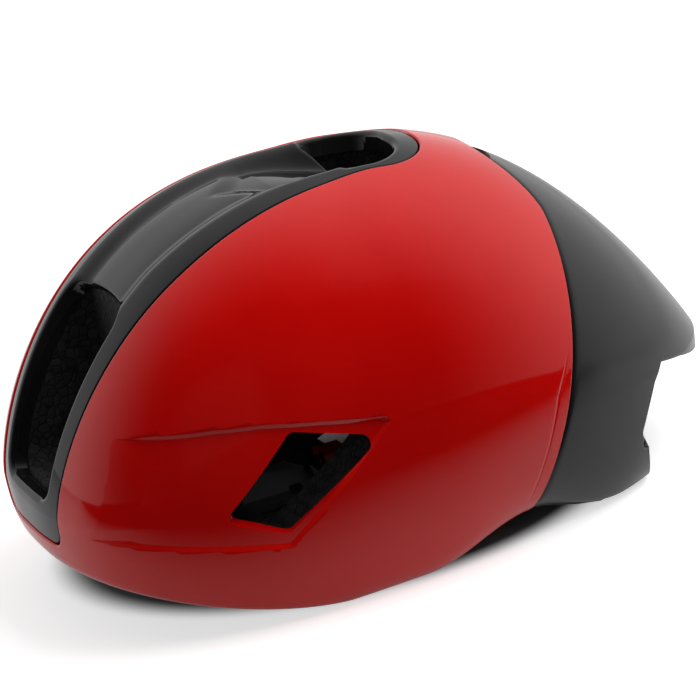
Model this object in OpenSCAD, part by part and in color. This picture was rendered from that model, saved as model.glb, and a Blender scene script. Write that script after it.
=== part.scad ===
// Aero road bike helmet standing on its temples and its nape.
// The front faces -Y, +Z is up, the wearer's left is +X and the table is z = 0.

/* [Outer shape] */
// Half the width of the shell at its widest
half_width = 100.2; // [99:0.1:103]
// Reach of the shell in front of the crown point
front_reach = 145.9; // [144:0.1:149]
// Reach of the shell behind the crown point, measured along the tail
rear_reach = 157.4; // [155:0.1:161]
// Place of the crown point along the helmet
crown_y = 4.7; // [3:0.1:7]
// Height of the crown above the table
crown_z = 160.4; // [159:0.1:165]
// Squareness of the front seen from above
front_square = 2.65; // [2.5:0.01:2.8]
// Squareness of the tail seen from above
rear_square = 1.97; // [1.9:0.01:2.1]
// Height of the widest line at the brow
waist_front = 48.3; // [46:0.1:52]
// Height of the widest line at the side
waist_side = 53.9; // [51:0.1:57]
// Height of the widest line at the tail
waist_rear = 46.2; // [45:0.1:49]
// How far the rim tucks in under the brow
tuck_front = 5.1; // [4:0.1:8]
// How far the rim tucks in under the side
tuck_side = 18; // [14:0.5:19]
// How far the rim tucks in under the tail
tuck_rear = 15.5; // [12:0.5:19]
// How high the brow edge stands above the table
brow_rise = 26.6; // [22:0.1:30]
// How high the ear arch stands above the table
ear_rise = 12.2; // [8:0.1:16]
// Place of the top of the ear arch
ear_y = 48.3; // [42:0.1:54]
// Half the length of the ear arch
ear_half = 57.7; // [50:0.1:58]

/* [Walls] */
// Thickness of the polycarbonate shells
shell_t = 1.4; // [1:0.1:2]
// Glue gap between a shell and the foam
bond_gap = 0.25; // [0.2:0.05:0.3]
// How far the black rear shell lies below the red one
rear_step = 1.6; // [1.2:0.1:2.2]
// Height of the lip that the lower rim shows under the shells
rim_lip = 1; // [0.8:0.1:1.6]
// Thickness of the lower rim
rim_t = 1.6; // [1.2:0.1:2]

/* [Centre slot] */
// Half width of the slot at its widest, above the brow
slot_front = 41.2; // [39:0.1:42]
// Half width of the slot over the crown
slot_crown = 30.4; // [28:0.1:32]
// Half width of the slot at its lower end
slot_foot = 33; // [31:0.1:35]
// Rear end of the slot
slot_end_y = 49; // [46:0.5:52]
// Height of the slot's lower end above the table
slot_low_z = 36; // [34:0.5:40]
// Groove between the insert and the red shell
slot_groove = 0.6; // [0.4:0.1:1]
// Width of the insert's frame over the crown
frame_w = 5.2; // [4.5:0.1:7]
// What the frame is wider beside the front vent
frame_flare = 7.4; // [5:0.1:9]
// Depth of the insert's frame
frame_depth = 8; // [7:0.5:10]
// Depth of the bridge panel below the shell
bridge_sink = 4.5; // [3:0.1:5.5]
// Front edge of the bridge panel
bridge_front_y = -95; // [-100:1:-88]
// Rear edge of the bridge panel
bridge_rear_y = -14; // [-20:1:-8]
// Lower end of the front vent
vent_low_z = 54; // [51:0.5:58]
// Length of solid frame behind the top vent
vent_end_w = 11; // [8:0.5:14]

/* [Side recess] */
// Depth of the recess at its rear edge
recess_depth = 6; // [4:0.5:8]
// Corner radius of the vent hole
vent_corner_r = 4; // [3:0.5:5]

/* [Tail and nape] */
// Rearmost point of the nape edge
nape_y = 117; // [114:0.5:119]
// Radius of the nape edge seen from above
nape_r = 210; // [180:5:260]
// Height of the nape edge
nape_h = 20; // [18:0.5:21]
// Half width of the exhaust port behind the dial
port_half = 46; // [42:0.5:50]
// Place where the block behind the head starts
nape_from_y = 92; // [90:0.5:94]
// Height of the roof of the exhaust port
port_top = 66; // [64:0.5:68]

/* [Head cavity] */
// Half width of the head cavity
head_half_w = 77; // [76:0.5:78]
// Half length of the head cavity
head_half_l = 102; // [101:0.5:103]
// Middle of the head cavity along the helmet
head_y = -2; // [-3:0.5:-1]
// Height of the roof of the cavity
head_top = 128; // [122:0.5:132]
// Height at which the cavity starts to close
head_waist = 45; // [42:1:48]

/* [Retention cradle] */
// Place of the temple pivots along the helmet
pivot_y = -25; // [-28:0.5:-22]
// Height of the temple pivots
pivot_z = 42; // [41:0.5:43]
// Radius of the temple stubs
stub_r = 3; // [2.5:0.1:3.5]
// Running clearance of stubs, pins and shafts
run_gap = 0.05; // [0.02:0.01:0.08]
// Radius of the temple sockets
socket_r = 9; // [8:0.5:10]
// Thickness of the temple sockets
socket_t = 5; // [4:0.5:5]
// Height of the head bands
band_h = 10; // [8:0.5:11]
// Thickness of the head bands
band_t = 1.4; // [1:0.1:1.6]
// Radius of the arm hinge pins
pin_r = 1.5; // [1.2:0.1:1.8]
// Half width of the dial housing
housing_half = 26; // [25:0.5:28]
// Height of the dial housing
housing_h = 30; // [30:0.5:32]
// Wall of the dial housing
housing_t = 1.6; // [1.2:0.1:2]
// Depth of the dial housing
housing_d = 15.2; // [15:0.1:16]
// Pitch radius of the dial pinion
pinion_r = 3.6; // [3.6:0.1:3.8]
// Radius of the dial knob
knob_r = 11; // [9:0.5:12]
// Depth of the dial knob
knob_d = 8; // [6:0.5:9]
// Thickness of the height strip
strip_t = 1.5; // [1.2:0.1:1.8]
// Width of the height strip
strip_w = 10; // [8:0.5:12]

/* [Pads] */
// Thickness of the comfort pads
pad_t = 6; // [4:0.5:8]
// Clearance between a soft piece and what carries it
soft_gap = 0.3; // [0.2:0.05:0.4]
// Radius of a hook dot
dot_r = 4; // [3:0.5:5]
// Thickness of a hook dot
dot_t = 0.5; // [0.4:0.1:0.6]

/* [Straps] */
// Width of the webbing
web_w = 15; // [12:0.5:16]
// Thickness of the webbing
web_t = 1.2; // [1:0.1:1.4]
// Height of the folded webbing above the table
web_z = 1.2; // [1.1:0.1:1.6]
// Distance of the strap dividers from the middle
divider_x = 47; // [45:0.5:49]
// Place of the strap dividers along the helmet
divider_y = 10; // [8:0.5:12]
// Place of the buckle along the helmet
buckle_y = -52; // [-56:1:-48]
// Length of the buckle
buckle_l = 40; // [36:0.5:44]
// Width of the buckle
buckle_w = 21; // [20:0.5:24]

/* [Hidden] */

red = [0.75, 0.06, 0.05];
black = [0.08, 0.08, 0.085];
foam = [0.14, 0.14, 0.15];
cloth = [0.2, 0.2, 0.21];
web = [0.1, 0.1, 0.11];

around = 52;
rows_up = 10;
rows_down = 5;
eps = 0.01;

// Outer surface: a superellipse waist, a domed upper part and a tucked lower part.
function mix3(front, side, rear, th) =
    let (q = pow(sin(th), 2)) (sin(th) > 0 ? rear : front) * q + side * (1 - q);
function reach(th) =
    let (back = sin(th) > 0,
        n = back ? rear_square : front_square,
        l = back ? rear_reach : front_reach)
    pow(pow(abs(cos(th)) / half_width, n) + pow(abs(sin(th)) / l, n), -1 / n);
function waist(th) = mix3(waist_front, waist_side, waist_rear, th);
function along(th, r, z) = [r * cos(th), crown_y + r * sin(th), z];
function rim_z(th) =
    let (y = crown_y + reach(th) * sin(th), u = min(1, abs(y - ear_y) / ear_half))
    brow_rise * pow(max(0, (-45 - y) / 100), 1.5) + ear_rise * pow(cos(90 * u), 2);
function upper(th, rho, d) =
    let (zw = waist(th),
        m = mix3(2.55, 1.90, 2.39, th),
        k = mix3(1.40, 2.05, 1.02, th),
        rise = pow(max(0, 1 - pow(rho, m)), 1 / k))
    along(th, (reach(th) - d) * rho, zw + (crown_z - d - zw) * rise);
function lower_r(th, phi, d) =
    reach(th) - d - mix3(tuck_front, tuck_side, tuck_rear, th) * (1 - sqrt(max(0, 1 - phi * phi)));
function lower(th, phi, d, edge) =
    let (zw = waist(th), zb = rim_z(th) + edge)
    along(th, lower_r(th, phi, d), zw - (zw - zb) * phi);

// The recess floor leaves the outer surface softly at the front and is deepest at the rear.
recess_from = -68;
recess_to = -34;
function recess_fade(th) =
    let (a = th > 90 && th < 270 ? 180 - th : th > 180 ? th - 360 : th,
        u = max(0, min(1, (a - recess_from) / (recess_to - recess_from))))
    recess_depth * u;

// A closed skin through rows of points that run round the helmet from the top down.
module skin(rows, top, bottom) {
    n = len(rows[0]);
    last = 1 + len(rows) * n;
    points = concat([top], [for (r = rows) each r], [bottom]);
    polyhedron(points, concat(
        [for (j = [0:n - 1]) [0, 1 + (j + 1) % n, 1 + j]],
        [for (i = [0:len(rows) - 2], j = [0:n - 1])
            let (a = 1 + i * n + j, b = 1 + i * n + (j + 1) % n)
            each [[a, b, b + n], [a, b + n, a + n]]],
        [for (j = [0:n - 1]) [last, last - n + j, last - n + (j + 1) % n]]));
}

// The solid under the outer surface, a distance d inside it, with its bottom an edge above the rim.
// With low, it goes straight down from there to that height beside the rim.
module dome(d, edge, floor = false, low = undef) {
    bottom = is_undef(low) ? edge : low;
    rows = concat(
        [for (i = [1:rows_up]) [for (j = [0:around - 1])
            let (th = 360 * j / around)
            upper(th, pow(sin(90 * i / rows_up), 0.9), d + (floor ? recess_fade(th) : 0))]],
        [for (i = [1:rows_down]) [for (j = [0:around - 1])
            let (th = 360 * j / around)
            lower(th, i / rows_down, d + (floor ? recess_fade(th) : 0), edge)]],
        is_undef(low) ? [] : [[for (j = [0:around - 1]) let (th = 360 * j / around)
            along(th, lower_r(th, 1, d + (floor ? recess_fade(th) : 0)), rim_z(th) + low)]],
        [[for (j = [0:around - 1]) let (th = 360 * j / around)
            along(th, 0.55 * lower_r(th, 1, d), rim_z(th) + bottom)]]);
    skin(rows, [0, crown_y, crown_z - d], [0, crown_y, bottom]);
}

// Outlines of the side recess and its vent hole, seen from the side as [y, z].
recess_outline = [[-116, 84], [-70, 84], [-18, 75.5], [-64, 36], [-104, 42], [-131, 46]];
hole_outline = [[-53, 78], [-28, 71], [-62.5, 42.5], [-83, 49]];

// A rounded prism through one side of the helmet.
module side_prism(outline, r, grow) {
    hull() for (p = outline)
        translate([40, p[0], p[1]]) rotate([0, 90, 0])
            cylinder(r = r + grow, h = 80, $fn = 16);
}
module recess_prism(grow) side_prism(recess_outline, 1.5, grow);
module hole_prism(grow) side_prism([for (p = hole_outline) p + [sign(-55 - p[0]) * vent_corner_r / 2,
    sign(60 - p[1]) * vent_corner_r / 2]], vent_corner_r, grow);

// Edge and low end of the domes that hollow out the shells.
hollow_drop = 0.4;
hollow_edge = rim_lip - hollow_drop;
hollow_low = -6;
// How much higher the recess floor's dome ends, so that its edge lies clear of the outer one.
floor_lift = 0.3;

module recessed_dome(d, edge, low = undef) {
    union() {
        difference() {
            dome(d, edge, low = low);
            recess_prism(d);
            mirror([1, 0, 0]) recess_prism(d);
        }
        dome(d, edge + floor_lift, true, low);
    }
}

// Everything behind the split line, grown forwards by a distance. The line lies furthest back at one
// height, and from there it runs forwards to the rim and to the crown.
split_back_y = 84.2;
split_back_z = 122;
split_low_y = 45.2;
split_low_z = 20;
split_foot = 4.6;
split_crown_l = 11.5;
split_crown_h = 22;
function split_y(z) = z < split_back_z
    ? split_back_y - (split_back_y - split_low_y)
        * pow((split_back_z - z) / (split_back_z - split_low_z), 1.25)
    : split_back_y - split_crown_l * pow((z - split_back_z) / split_crown_h, 1.6);
module behind_split(grow) {
    rotate([90, 0, 90]) linear_extrude(260, center = true)
        polygon(concat([[200, 200], [200, -20], [split_low_y - split_foot - grow, -20]],
            [for (z = [17:13:160]) [split_y(z) - grow, z]],
            [[split_y(160) - grow, 200]]));
}

// The centre slot seen from above, shrunk by a distance, and by a leg more towards the front.
slot_rear_y = 20;
slot_wide_y = -80;
function slot_share(y) = max(0, min(1, (slot_rear_y - y) / (slot_rear_y - slot_wide_y)));
function slot_w(y) = slot_crown + (slot_front - slot_crown) * pow(sin(90 * slot_share(y)), 1.5);
slot_ys = [-160, slot_wide_y, -56, -34, -8, slot_rear_y];
slot_end_r = 24;
module slot_plan(shrink, end, leg) {
    for (i = [0:len(slot_ys) - 2])
        hull() for (y = [slot_ys[i], slot_ys[i + 1]], s = [-1, 1])
            translate([s * (slot_w(y) - shrink - leg * slot_share(y) - 1), y]) circle(1, $fn = 16);
    hull() for (s = [-1, 1]) {
        translate([s * (slot_w(slot_rear_y) - shrink - 1), slot_rear_y]) circle(1, $fn = 16);
        translate([s * (slot_w(slot_rear_y) - slot_end_r), slot_end_y - slot_end_r - end])
            circle(slot_end_r - shrink, $fn = 40);
    }
}
// The slot widens from its lower end upwards.
slot_top_z = 220;
slot_spread = 0.1;
module slot_prism(shrink, low, end = 0, leg = 0) {
    foot = slot_foot - shrink - leg / 2;
    intersection() {
        translate([0, 0, low - 20]) linear_extrude(200) slot_plan(shrink, end, leg);
        hull() for (s = [-1, 1]) {
            translate([s * (foot - 8), 80, low + 8])
                rotate([90, 0, 0]) cylinder(r = 8, h = 260, $fn = 32);
            translate([s * (foot + slot_spread * (slot_top_z - slot_low_z) - 1), 80, slot_top_z])
                rotate([90, 0, 0]) cylinder(r = 1, h = 260, $fn = 16);
        }
    }
}

module front_shell() {
    color(red) difference() {
        recessed_dome(0, rim_lip);
        recessed_dome(shell_t, hollow_edge, hollow_low);
        behind_split(0);
        slot_prism(0, slot_low_z);
        for (s = [0, 1]) mirror([s, 0, 0]) hole_prism(0);
    }
}

// The open space under and behind the tail, seen from the side as [y, z].
tail_edge = [[168, 33], [150, 39.4], [131, 47.6], [118, 51.5], [111.5, 45.5], [106, 36.5],
    [101.5, 28], [101.5, 22], [104, 13], [107.5, 6], [108, -4]];
module tail_space(grow) {
    rotate([90, 0, 90]) linear_extrude(260, center = true) offset(delta = grow)
        for (i = [0:len(tail_edge) - 2])
            hull() polygon([tail_edge[i], tail_edge[i + 1], [190, 30], [190, -8]]);
}
// Room for the dial between the cavity and the open space under the tail.
port_y0 = head_y + head_half_l - 12;
port_y1 = 118;
module port() {
    translate([-port_half, port_y0, nape_h - 1])
        cube([2 * port_half, port_y1 - port_y0, port_top - nape_h + 1]);
}
// The block behind the head, between the table and the port, rounded by the nape edge.
module nape_block(d, low, high) {
    intersection() {
        dome(d, max(low, hollow_edge), low = low < 0 ? low : undef);
        translate([0, nape_y - nape_r, low]) cylinder(r = nape_r + rear_step - d, h = high - low, $fn = 180);
        translate([-120, nape_from_y, -10]) cube([240, 100, 60]);
    }
}

module rear_shell() {
    inner = rear_step + shell_t;
    color(black) {
        difference() {
            dome(rear_step, rim_lip);
            difference() {
                dome(inner, hollow_edge, low = hollow_low);
                tail_floor();
            }
            front_of_split();
            tail_space(0);
        }
        difference() {
            nape_block(rear_step, rim_lip, nape_h);
            nape_block(inner, hollow_low, nape_h + 1);
            translate([-120, 0, -10]) cube([240, nape_from_y + 1, 60]);
        }
    }
}
module front_of_split() {
    difference() {
        translate([-150, -200, -30]) cube([300, 400, 260]);
        behind_split(0);
    }
}
// The plate that closes the tail from below, behind the exhaust port.
module tail_floor() {
    difference() {
        tail_space(shell_t);
        translate([-port_half, 60, -10]) cube([2 * port_half, 62, 100]);
        translate([-150, 60, -10]) cube([300, 54, 100]);
    }
}

insert_top = 0.7;
panel_t = 2;
module centre_insert() {
    color(black) union() {
        difference() {
            slot_prism(slot_groove, slot_low_z + slot_groove);
            difference() {
                translate([-60, -200, 0]) cube([120, 300, 260]);
                dome(insert_top, 0);
            }
            dome(frame_depth, hollow_edge, low = hollow_low);
            slot_prism(frame_w, vent_low_z, vent_end_w - frame_w, frame_flare);
        }
        difference() {
            intersection() {
                slot_prism(frame_w - 0.5, vent_low_z, leg = frame_flare);
                translate([-40, bridge_front_y, 90])
                    cube([80, bridge_rear_y - bridge_front_y, 100]);
                dome(bridge_sink, 0);
            }
            dome(bridge_sink + panel_t, hollow_edge, low = hollow_low);
        }
        vent_tongue();
    }
}
// The tongue dips from the rear of the bridge panel into the top vent.
tongue_l = 36;
tongue_dip = 12;
module vent_tongue() {
    y0 = bridge_rear_y;
    z0 = crown_z - bridge_sink - panel_t;
    hull() {
        for (s = [-1, 1])
            translate([s * (slot_w(y0) - frame_w - frame_flare * slot_share(y0) - 2), y0 - 3, z0 + 0.4]) sphere(1.6, $fn = 16);
        for (s = [-1, 1])
            translate([s * 3, y0 + tongue_l, z0 - tongue_dip]) sphere(1.6, $fn = 16);
    }
}

// Head cavity: a superellipse tube closed by a dome.
function head_reach(th) =
    pow(pow(abs(cos(th)) / head_half_w, head_plan_n) + pow(abs(sin(th)) / head_half_l, head_plan_n),
        -1 / head_plan_n);
function head_at(th, z) =
    let (u = max(0, (z - head_waist) / (head_top - head_waist)),
        r = head_reach(th) * pow(max(0, 1 - pow(u, head_n)), 1 / head_n))
    [r * cos(th), head_y + r * sin(th), z];
// Direction from the cavity wall into the cavity, and a point that far off the wall.
function wall_normal(th, z) =
    let (p = head_at(th, z), n = cross(head_at(th, z + 0.5) - p, head_at(th + 0.5, z) - p))
    n / norm(n);
function wall_at(th, z, d) = head_at(th, z) + d * wall_normal(th, z);
head_plan_n = 2.25;
head_n = 2.3;
head_rows = 10;
head_around = 44;
module head_cavity() {
    rows = concat(
        [for (i = [1:head_rows]) [for (j = [0:head_around - 1])
            let (p = 90 * i / head_rows, th = 360 * j / head_around,
                r = head_reach(th) * pow(sin(p), 2 / head_n))
            [r * cos(th), head_y + r * sin(th),
                head_waist + (head_top - head_waist) * pow(cos(p), 2 / head_n)]]],
        [[for (j = [0:head_around - 1]) let (th = 360 * j / head_around)
            [head_reach(th) * cos(th), head_y + head_reach(th) * sin(th), -8]]]);
    skin(rows, [0, head_y, head_top], [0, head_y, -8]);
}

foam_in = shell_t + bond_gap;
foam_lift = rim_t + 2.4 * bond_gap;
foam_step = 0.15;
module eps_liner() {
    color(foam) difference() {
        union() {
            difference() {
                recessed_dome(foam_in, foam_lift);
                behind_split(0.8);
            }
            difference() {
                dome(rear_step + foam_in, foam_lift + foam_step);
                translate([-150, -200, -30]) cube([300, 215, 260]);
                tail_space(foam_in + 0.4);
            }
            nape_block(rear_step + foam_in, foam_lift + 2 * foam_step, nape_h - 1);
        }
        head_cavity();
        port();
        insert_seat();
        vent_shafts();
        for (s = [0, 1]) mirror([s, 0, 0]) {
            hole_prism(2);
            along_x([head_half_w - 8, pivot_y, pivot_z], socket_r + soft_gap,
                socket_x + socket_t + soft_gap - head_half_w + 8, 32);
            for (th = anchor_at) at_anchor(th)
                translate([-anchor_sink - soft_gap, -anchor_w / 2 - soft_gap, -anchor_h / 2 - soft_gap])
                    cube([anchor_sink + 6, anchor_w + 2 * soft_gap, anchor_h + 2 * soft_gap]);
        }
        along_y([0, height_foot_y, height_foot_z], strip_plug_r + soft_gap, 13, 24);
    }
}
// The shelf in the foam that the insert lies on.
module insert_seat() {
    difference() {
        slot_prism(-bond_gap, slot_low_z - bond_gap);
        dome(frame_depth + bond_gap, hollow_edge, low = hollow_low - 4);
    }
}
// The shafts that lead from the front vent and the top vent to the cavity.
module vent_shafts() {
    intersection() {
        slot_prism(frame_w + 1, vent_low_z, leg = frame_flare);
        union() {
            translate([-40, -170, 0]) cube([80, 170 + bridge_front_y + 6, 200]);
            translate([-40, bridge_rear_y - 2, 0]) cube([80, 200, 200]);
        }
    }
}

// The lower rim wraps the bottom edge of the foam from the shells to the cavity.
function nape_reach(th) =
    let (h = crown_y - nape_y + nape_r, b = h * sin(th))
    -b + sqrt(b * b - h * h + nape_r * nape_r);
function rim_out(th) =
    let (y = crown_y + lower_r(th, 1, 0) * sin(th),
        behind = max(0, min(1, (y - split_low_y + 12) / 8)),
        r = lower_r(th, 1, shell_t + bond_gap + rear_step * behind))
    sin(th) > 0 ? min(r, nape_reach(th) - shell_t - bond_gap) : r;
// Distance from the crown point to the cavity wall in a direction, by four steps of bisection.
function head_side(x, y) =
    pow(abs(x) / head_half_w, head_plan_n) + pow(abs(y - head_y) / head_half_l, head_plan_n);
function head_along(th, lo = 40, hi = 130, n = 0) =
    n > 14 ? (lo + hi) / 2
    : let (m = (lo + hi) / 2)
    head_side(m * cos(th), crown_y + m * sin(th)) < 1
        ? head_along(th, m, hi, n + 1) : head_along(th, lo, m, n + 1);
rim_h = 5;
lip_gap = 0.6;
module lower_rim() {
    n = around;
    ring = [for (j = [0:n - 1]) let (th = 360 * j / n, z = rim_z(th),
        ro = rim_out(th), ri = head_along(th) - lip_gap)
        [along(th, ro, z), along(th, ro, z + rim_t), along(th, ri, z + rim_t),
            along(th, ri, z + rim_h), along(th, ri - rim_t, z + rim_h), along(th, ri - rim_t, z)]];
    color(black) polyhedron([for (r = ring) each r],
        [for (j = [0:n - 1], k = [0:5])
            let (a = 6 * j + k, b = 6 * j + (k + 1) % 6,
                c = 6 * ((j + 1) % n) + (k + 1) % 6, d = 6 * ((j + 1) % n) + k)
            each [[a, b, c], [a, c, d]]]);
}

// Places that the retention pieces share.
socket_x = head_half_w - 4.8;
clip_x1 = socket_x - 1.8;
clip_t = 1.6;
hinge_l = 13;
hinge_y = pivot_y + hinge_l;
band_r = clip_x1 - 0.1;
rack_y = head_y + head_half_l - 7.5;
nape_arc_y = rack_y - band_r;
housing_y = rack_y + 2.7 - housing_d;
cover_y = housing_y + housing_d + 0.3;
cover_t = 1.8;
strip_r = rack_y - pivot_y - 1.5;
strip_a0 = 9;
strip_rise = 49;
strip_a1 = asin(strip_rise / strip_r);
height_foot_y = pivot_y + strip_r * cos(strip_a1);
height_foot_z = pivot_z + strip_r * sin(strip_a1);
strip_plug_r = 3;
rack_l = 4.5;
tooth_n = 8;
tooth_pitch = 2 * PI * pinion_r / tooth_n;
tower_z = 15;

module along_x(p, r, h, fn = 48) {
    translate(p) rotate([0, 90, 0]) cylinder(r = r, h = h, $fn = fn);
}
module along_y(p, r, h, fn = 48) {
    translate(p) rotate([-90, 0, 0]) cylinder(r = r, h = h, $fn = fn);
}

module pivot_socket() {
    color(black) difference() {
        along_x([socket_x, pivot_y, pivot_z], socket_r, socket_t);
        along_x([socket_x - 1, pivot_y, pivot_z], stub_r + run_gap, socket_t + 2);
    }
}
module pivot_socket_left() { pivot_socket(); }
module pivot_socket_right() { mirror([1, 0, 0]) pivot_socket(); }

// Clip with the temple stub and the pin that the head band turns on.
module clip() {
    color(black) union() {
        along_x([clip_x1 - clip_t, pivot_y, pivot_z], 8, clip_t);
        along_x([clip_x1 - eps, pivot_y, pivot_z], 4.5, socket_x - 0.2 - clip_x1);
        along_x([clip_x1 - eps, pivot_y, pivot_z], stub_r, socket_x + socket_t - clip_x1 - 0.4);
        translate([clip_x1 - clip_t, pivot_y, pivot_z - band_h / 2 - 2])
            cube([clip_t, 7, band_h + 4]);
        for (z = [pivot_z - band_h / 2 - 2, pivot_z + band_h / 2 + 0.4])
            translate([0, 0, z]) {
                translate([clip_x1 - clip_t, pivot_y, 0]) cube([clip_t, hinge_l, 1.6]);
                translate([band_r, hinge_y, 0]) cylinder(r = 3, h = 1.6, $fn = 32);
            }
        translate([band_r, hinge_y, pivot_z - band_h / 2 - 1])
            cylinder(r = pin_r, h = band_h + 2, $fn = 48);
    }
}
module clip_left() { clip(); }
module clip_right() { mirror([1, 0, 0]) clip(); }

// A bent strip about the middle of the nape, from angle a0 to a1, between two heights.
// Its straight start runs forwards from angle 0 to the place y_from.
module nape_strip(r, t, angles, z0, z1, y_from = undef) {
    function side(d) = concat(is_undef(y_from) ? [] : [[r + d, y_from]],
        [for (a = angles) [(r + d) * cos(a), nape_arc_y + (r + d) * sin(a)]]);
    inner = side(-t / 2);
    translate([0, 0, z0]) linear_extrude(z1 - z0)
        polygon(concat(side(t / 2), [for (i = [len(inner) - 1:-1:0]) inner[i]]));
}
rack_from = 62;
rack_to = 80;
rack_thin = 0.2;
// Head band with its hinge barrel, its curve round the nape and its rack above or below the pinion.
module arm(side) {
    s = side;
    rack_z = pivot_z + s * (pinion_r - 0.35);
    bar_z0 = s > 0 ? rack_z + 1.25 : rack_z - 4.75;
    arc_z0 = s > 0 ? pivot_z + 2 : bar_z0;
    arc_z1 = s > 0 ? bar_z0 + 3.5 : pivot_z - 2;
    color(black) union() {
        difference() {
            union() {
                translate([band_r, hinge_y, pivot_z - band_h / 2])
                    cylinder(r = 3, h = band_h, $fn = 48);
                nape_strip(band_r, band_t, [0:2:rack_from], pivot_z - band_h / 2,
                    pivot_z + band_h / 2, hinge_y);
            }
            translate([band_r, hinge_y, pivot_z - band_h])
                cylinder(r = pin_r + run_gap, h = 2 * band_h, $fn = 48);
        }
        nape_strip(band_r, band_t - rack_thin, [rack_from - 2:2:rack_to], arc_z0, arc_z1);
        translate([-rack_l, rack_y - 1.3, bar_z0]) cube([rack_l + 17, 2, 3.5]);
        for (k = [-1:4])
            translate([k * tooth_pitch, rack_y + 0.7, rack_z]) rotate([90, 0, 0])
                linear_extrude(2) polygon([[-0.35, 0], [0.35, 0], [0.65, s * 1.3], [-0.65, s * 1.3]]);
    }
}
module arm_left() { arm(-1); }
module arm_right() { mirror([1, 0, 0]) arm(1); }

boss_x = 18;
boss_z = housing_h / 2 - 3.4;
module housing_bosses(r, y0, y1) {
    for (x = [-boss_x, boss_x], z = [-boss_z, boss_z])
        along_y([x, y0, pivot_z + z], r, y1 - y0, 32);
}
// Tray that holds the racks and the pinion, with the tower that grips the height strip.
module cradle_housing() {
    z0 = pivot_z - housing_h / 2;
    color(black) difference() {
        union() {
            translate([-housing_half, housing_y, z0]) cube([2 * housing_half, housing_d, housing_h]);
            translate([-strip_w / 2 - 3, housing_y + 4, z0 + housing_h - eps])
                cube([strip_w + 6, 9.5, tower_z]);
        }
        difference() {
            translate([-housing_half - 1, housing_y + housing_t, z0 + housing_t])
                cube([2 * housing_half + 2, housing_d, housing_h - 2 * housing_t]);
            housing_bosses(2.6, housing_y, cover_y);
        }
        for (s = [-1, 1])
            translate([s * (housing_half + 1) - 6, housing_y - 1, z0 + housing_t + 4])
                cube([12, housing_d + 2, housing_h - 2 * housing_t - 8]);
        for (x = [-boss_x, boss_x], z = [-boss_z, boss_z])
            along_y([x, housing_y + 6, pivot_z + z], 1.05, 20, 24);
        translate([0, pivot_y, pivot_z]) rotate([90, 0, 90])
            rotate_extrude(angle = 30, $fn = 180)
                translate([strip_r - strip_t / 2 - 0.3, -strip_w / 2 - 0.3])
                    square([strip_t + 0.6, strip_w + 0.6]);
    }
}
module cradle_cover() {
    color(black) difference() {
        union() {
            translate([-housing_half, cover_y, pivot_z - housing_h / 2])
                cube([2 * housing_half, cover_t, housing_h]);
        }
        along_y([0, cover_y - 1, pivot_z], 2 + run_gap, 8);
        housing_screw_holes();
    }
}
module housing_screw_holes() {
    for (x = [-boss_x, boss_x], z = [-boss_z, boss_z])
        along_y([x, cover_y - 1, pivot_z + z], 1.1, 8, 24);
}
module cradle_screws() {
    color("silver") for (x = [-boss_x, boss_x], z = [-boss_z, boss_z])
        difference() {
            union() {
                along_y([x, housing_y + 8, pivot_z + z], 1, cover_y + cover_t - housing_y - 8, 24);
                along_y([x, cover_y + cover_t + 0.02, pivot_z + z], 1.9, 0.8, 32);
                along_y([x, cover_y + cover_t - 0.5, pivot_z + z], 1, 0.6, 24);
            }
            translate([x - 0.25, cover_y + cover_t + 0.5, pivot_z + z - 1.3]) cube([0.5, 1, 2.6]);
        }
}
knob_y = cover_y + cover_t + 1.2;
module dial_pinion() {
    color(black) union() {
        along_y([0, housing_y + housing_t + 0.3, pivot_z], 2, knob_y + 2.5 - housing_y - housing_t, 48);
        translate([0, cover_y - 0.4, pivot_z]) rotate([90, 0, 0])
            linear_extrude(cover_y - 0.4 - housing_y - housing_t - 1.5) union() {
                circle(3, $fn = 48);
                for (k = [0:tooth_n - 1]) rotate(360 / tooth_n * (k + 0.5))
                    polygon([[2.6, -0.75], [4.2, -0.35], [4.2, 0.35], [2.6, 0.75]]);
            }
    }
}
module dial_knob() {
    color(black) difference() {
        union() {
            along_y([0, knob_y, pivot_z], knob_r - 2, knob_d, 64);
            along_y([0, knob_y, pivot_z], knob_r - 0.4, 1.2, 64);
            translate([-knob_r + 3, knob_y + knob_d - eps, pivot_z - 1.2]) cube([2 * knob_r - 6, 1.4, 2.4]);
        }
        along_y([0, knob_y - 1, pivot_z], 2 + run_gap, 4.2);
    }
}
module dial_grip() {
    color([0.12, 0.12, 0.12]) difference() {
        union() {
            along_y([0, knob_y + 1.25, pivot_z], knob_r - 0.4, knob_d - 2, 64);
            for (k = [0:23]) rotate_about_dial(15 * k)
                along_y([knob_r - 0.5, knob_y + 1.25, pivot_z], 0.7, knob_d - 2, 16);
        }
        along_y([0, knob_y, pivot_z], knob_r - 1.95, knob_d + 2, 64);
    }
}
module rotate_about_dial(a) {
    translate([0, 0, pivot_z]) rotate([0, a, 0]) translate([0, 0, -pivot_z]) children();
}
// Curved strip about the temple axis, with the foot that plugs into the foam.
module height_strip() {
    color(black) union() {
        translate([0, pivot_y, pivot_z]) rotate([90, 0, 90])
            rotate([0, 0, strip_a0]) rotate_extrude(angle = strip_a1 - strip_a0, $fn = 180)
                translate([strip_r - strip_t / 2, -strip_w / 2]) square([strip_t, strip_w]);
        translate([-strip_w / 2, height_foot_y - 1.2, height_foot_z - 4])
            cube([strip_w, head_at(90, height_foot_z + 3)[1] - height_foot_y + 0.5, 7]);
        along_y([0, height_foot_y, height_foot_z], strip_plug_r, 11, 32);
    }
}

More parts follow.
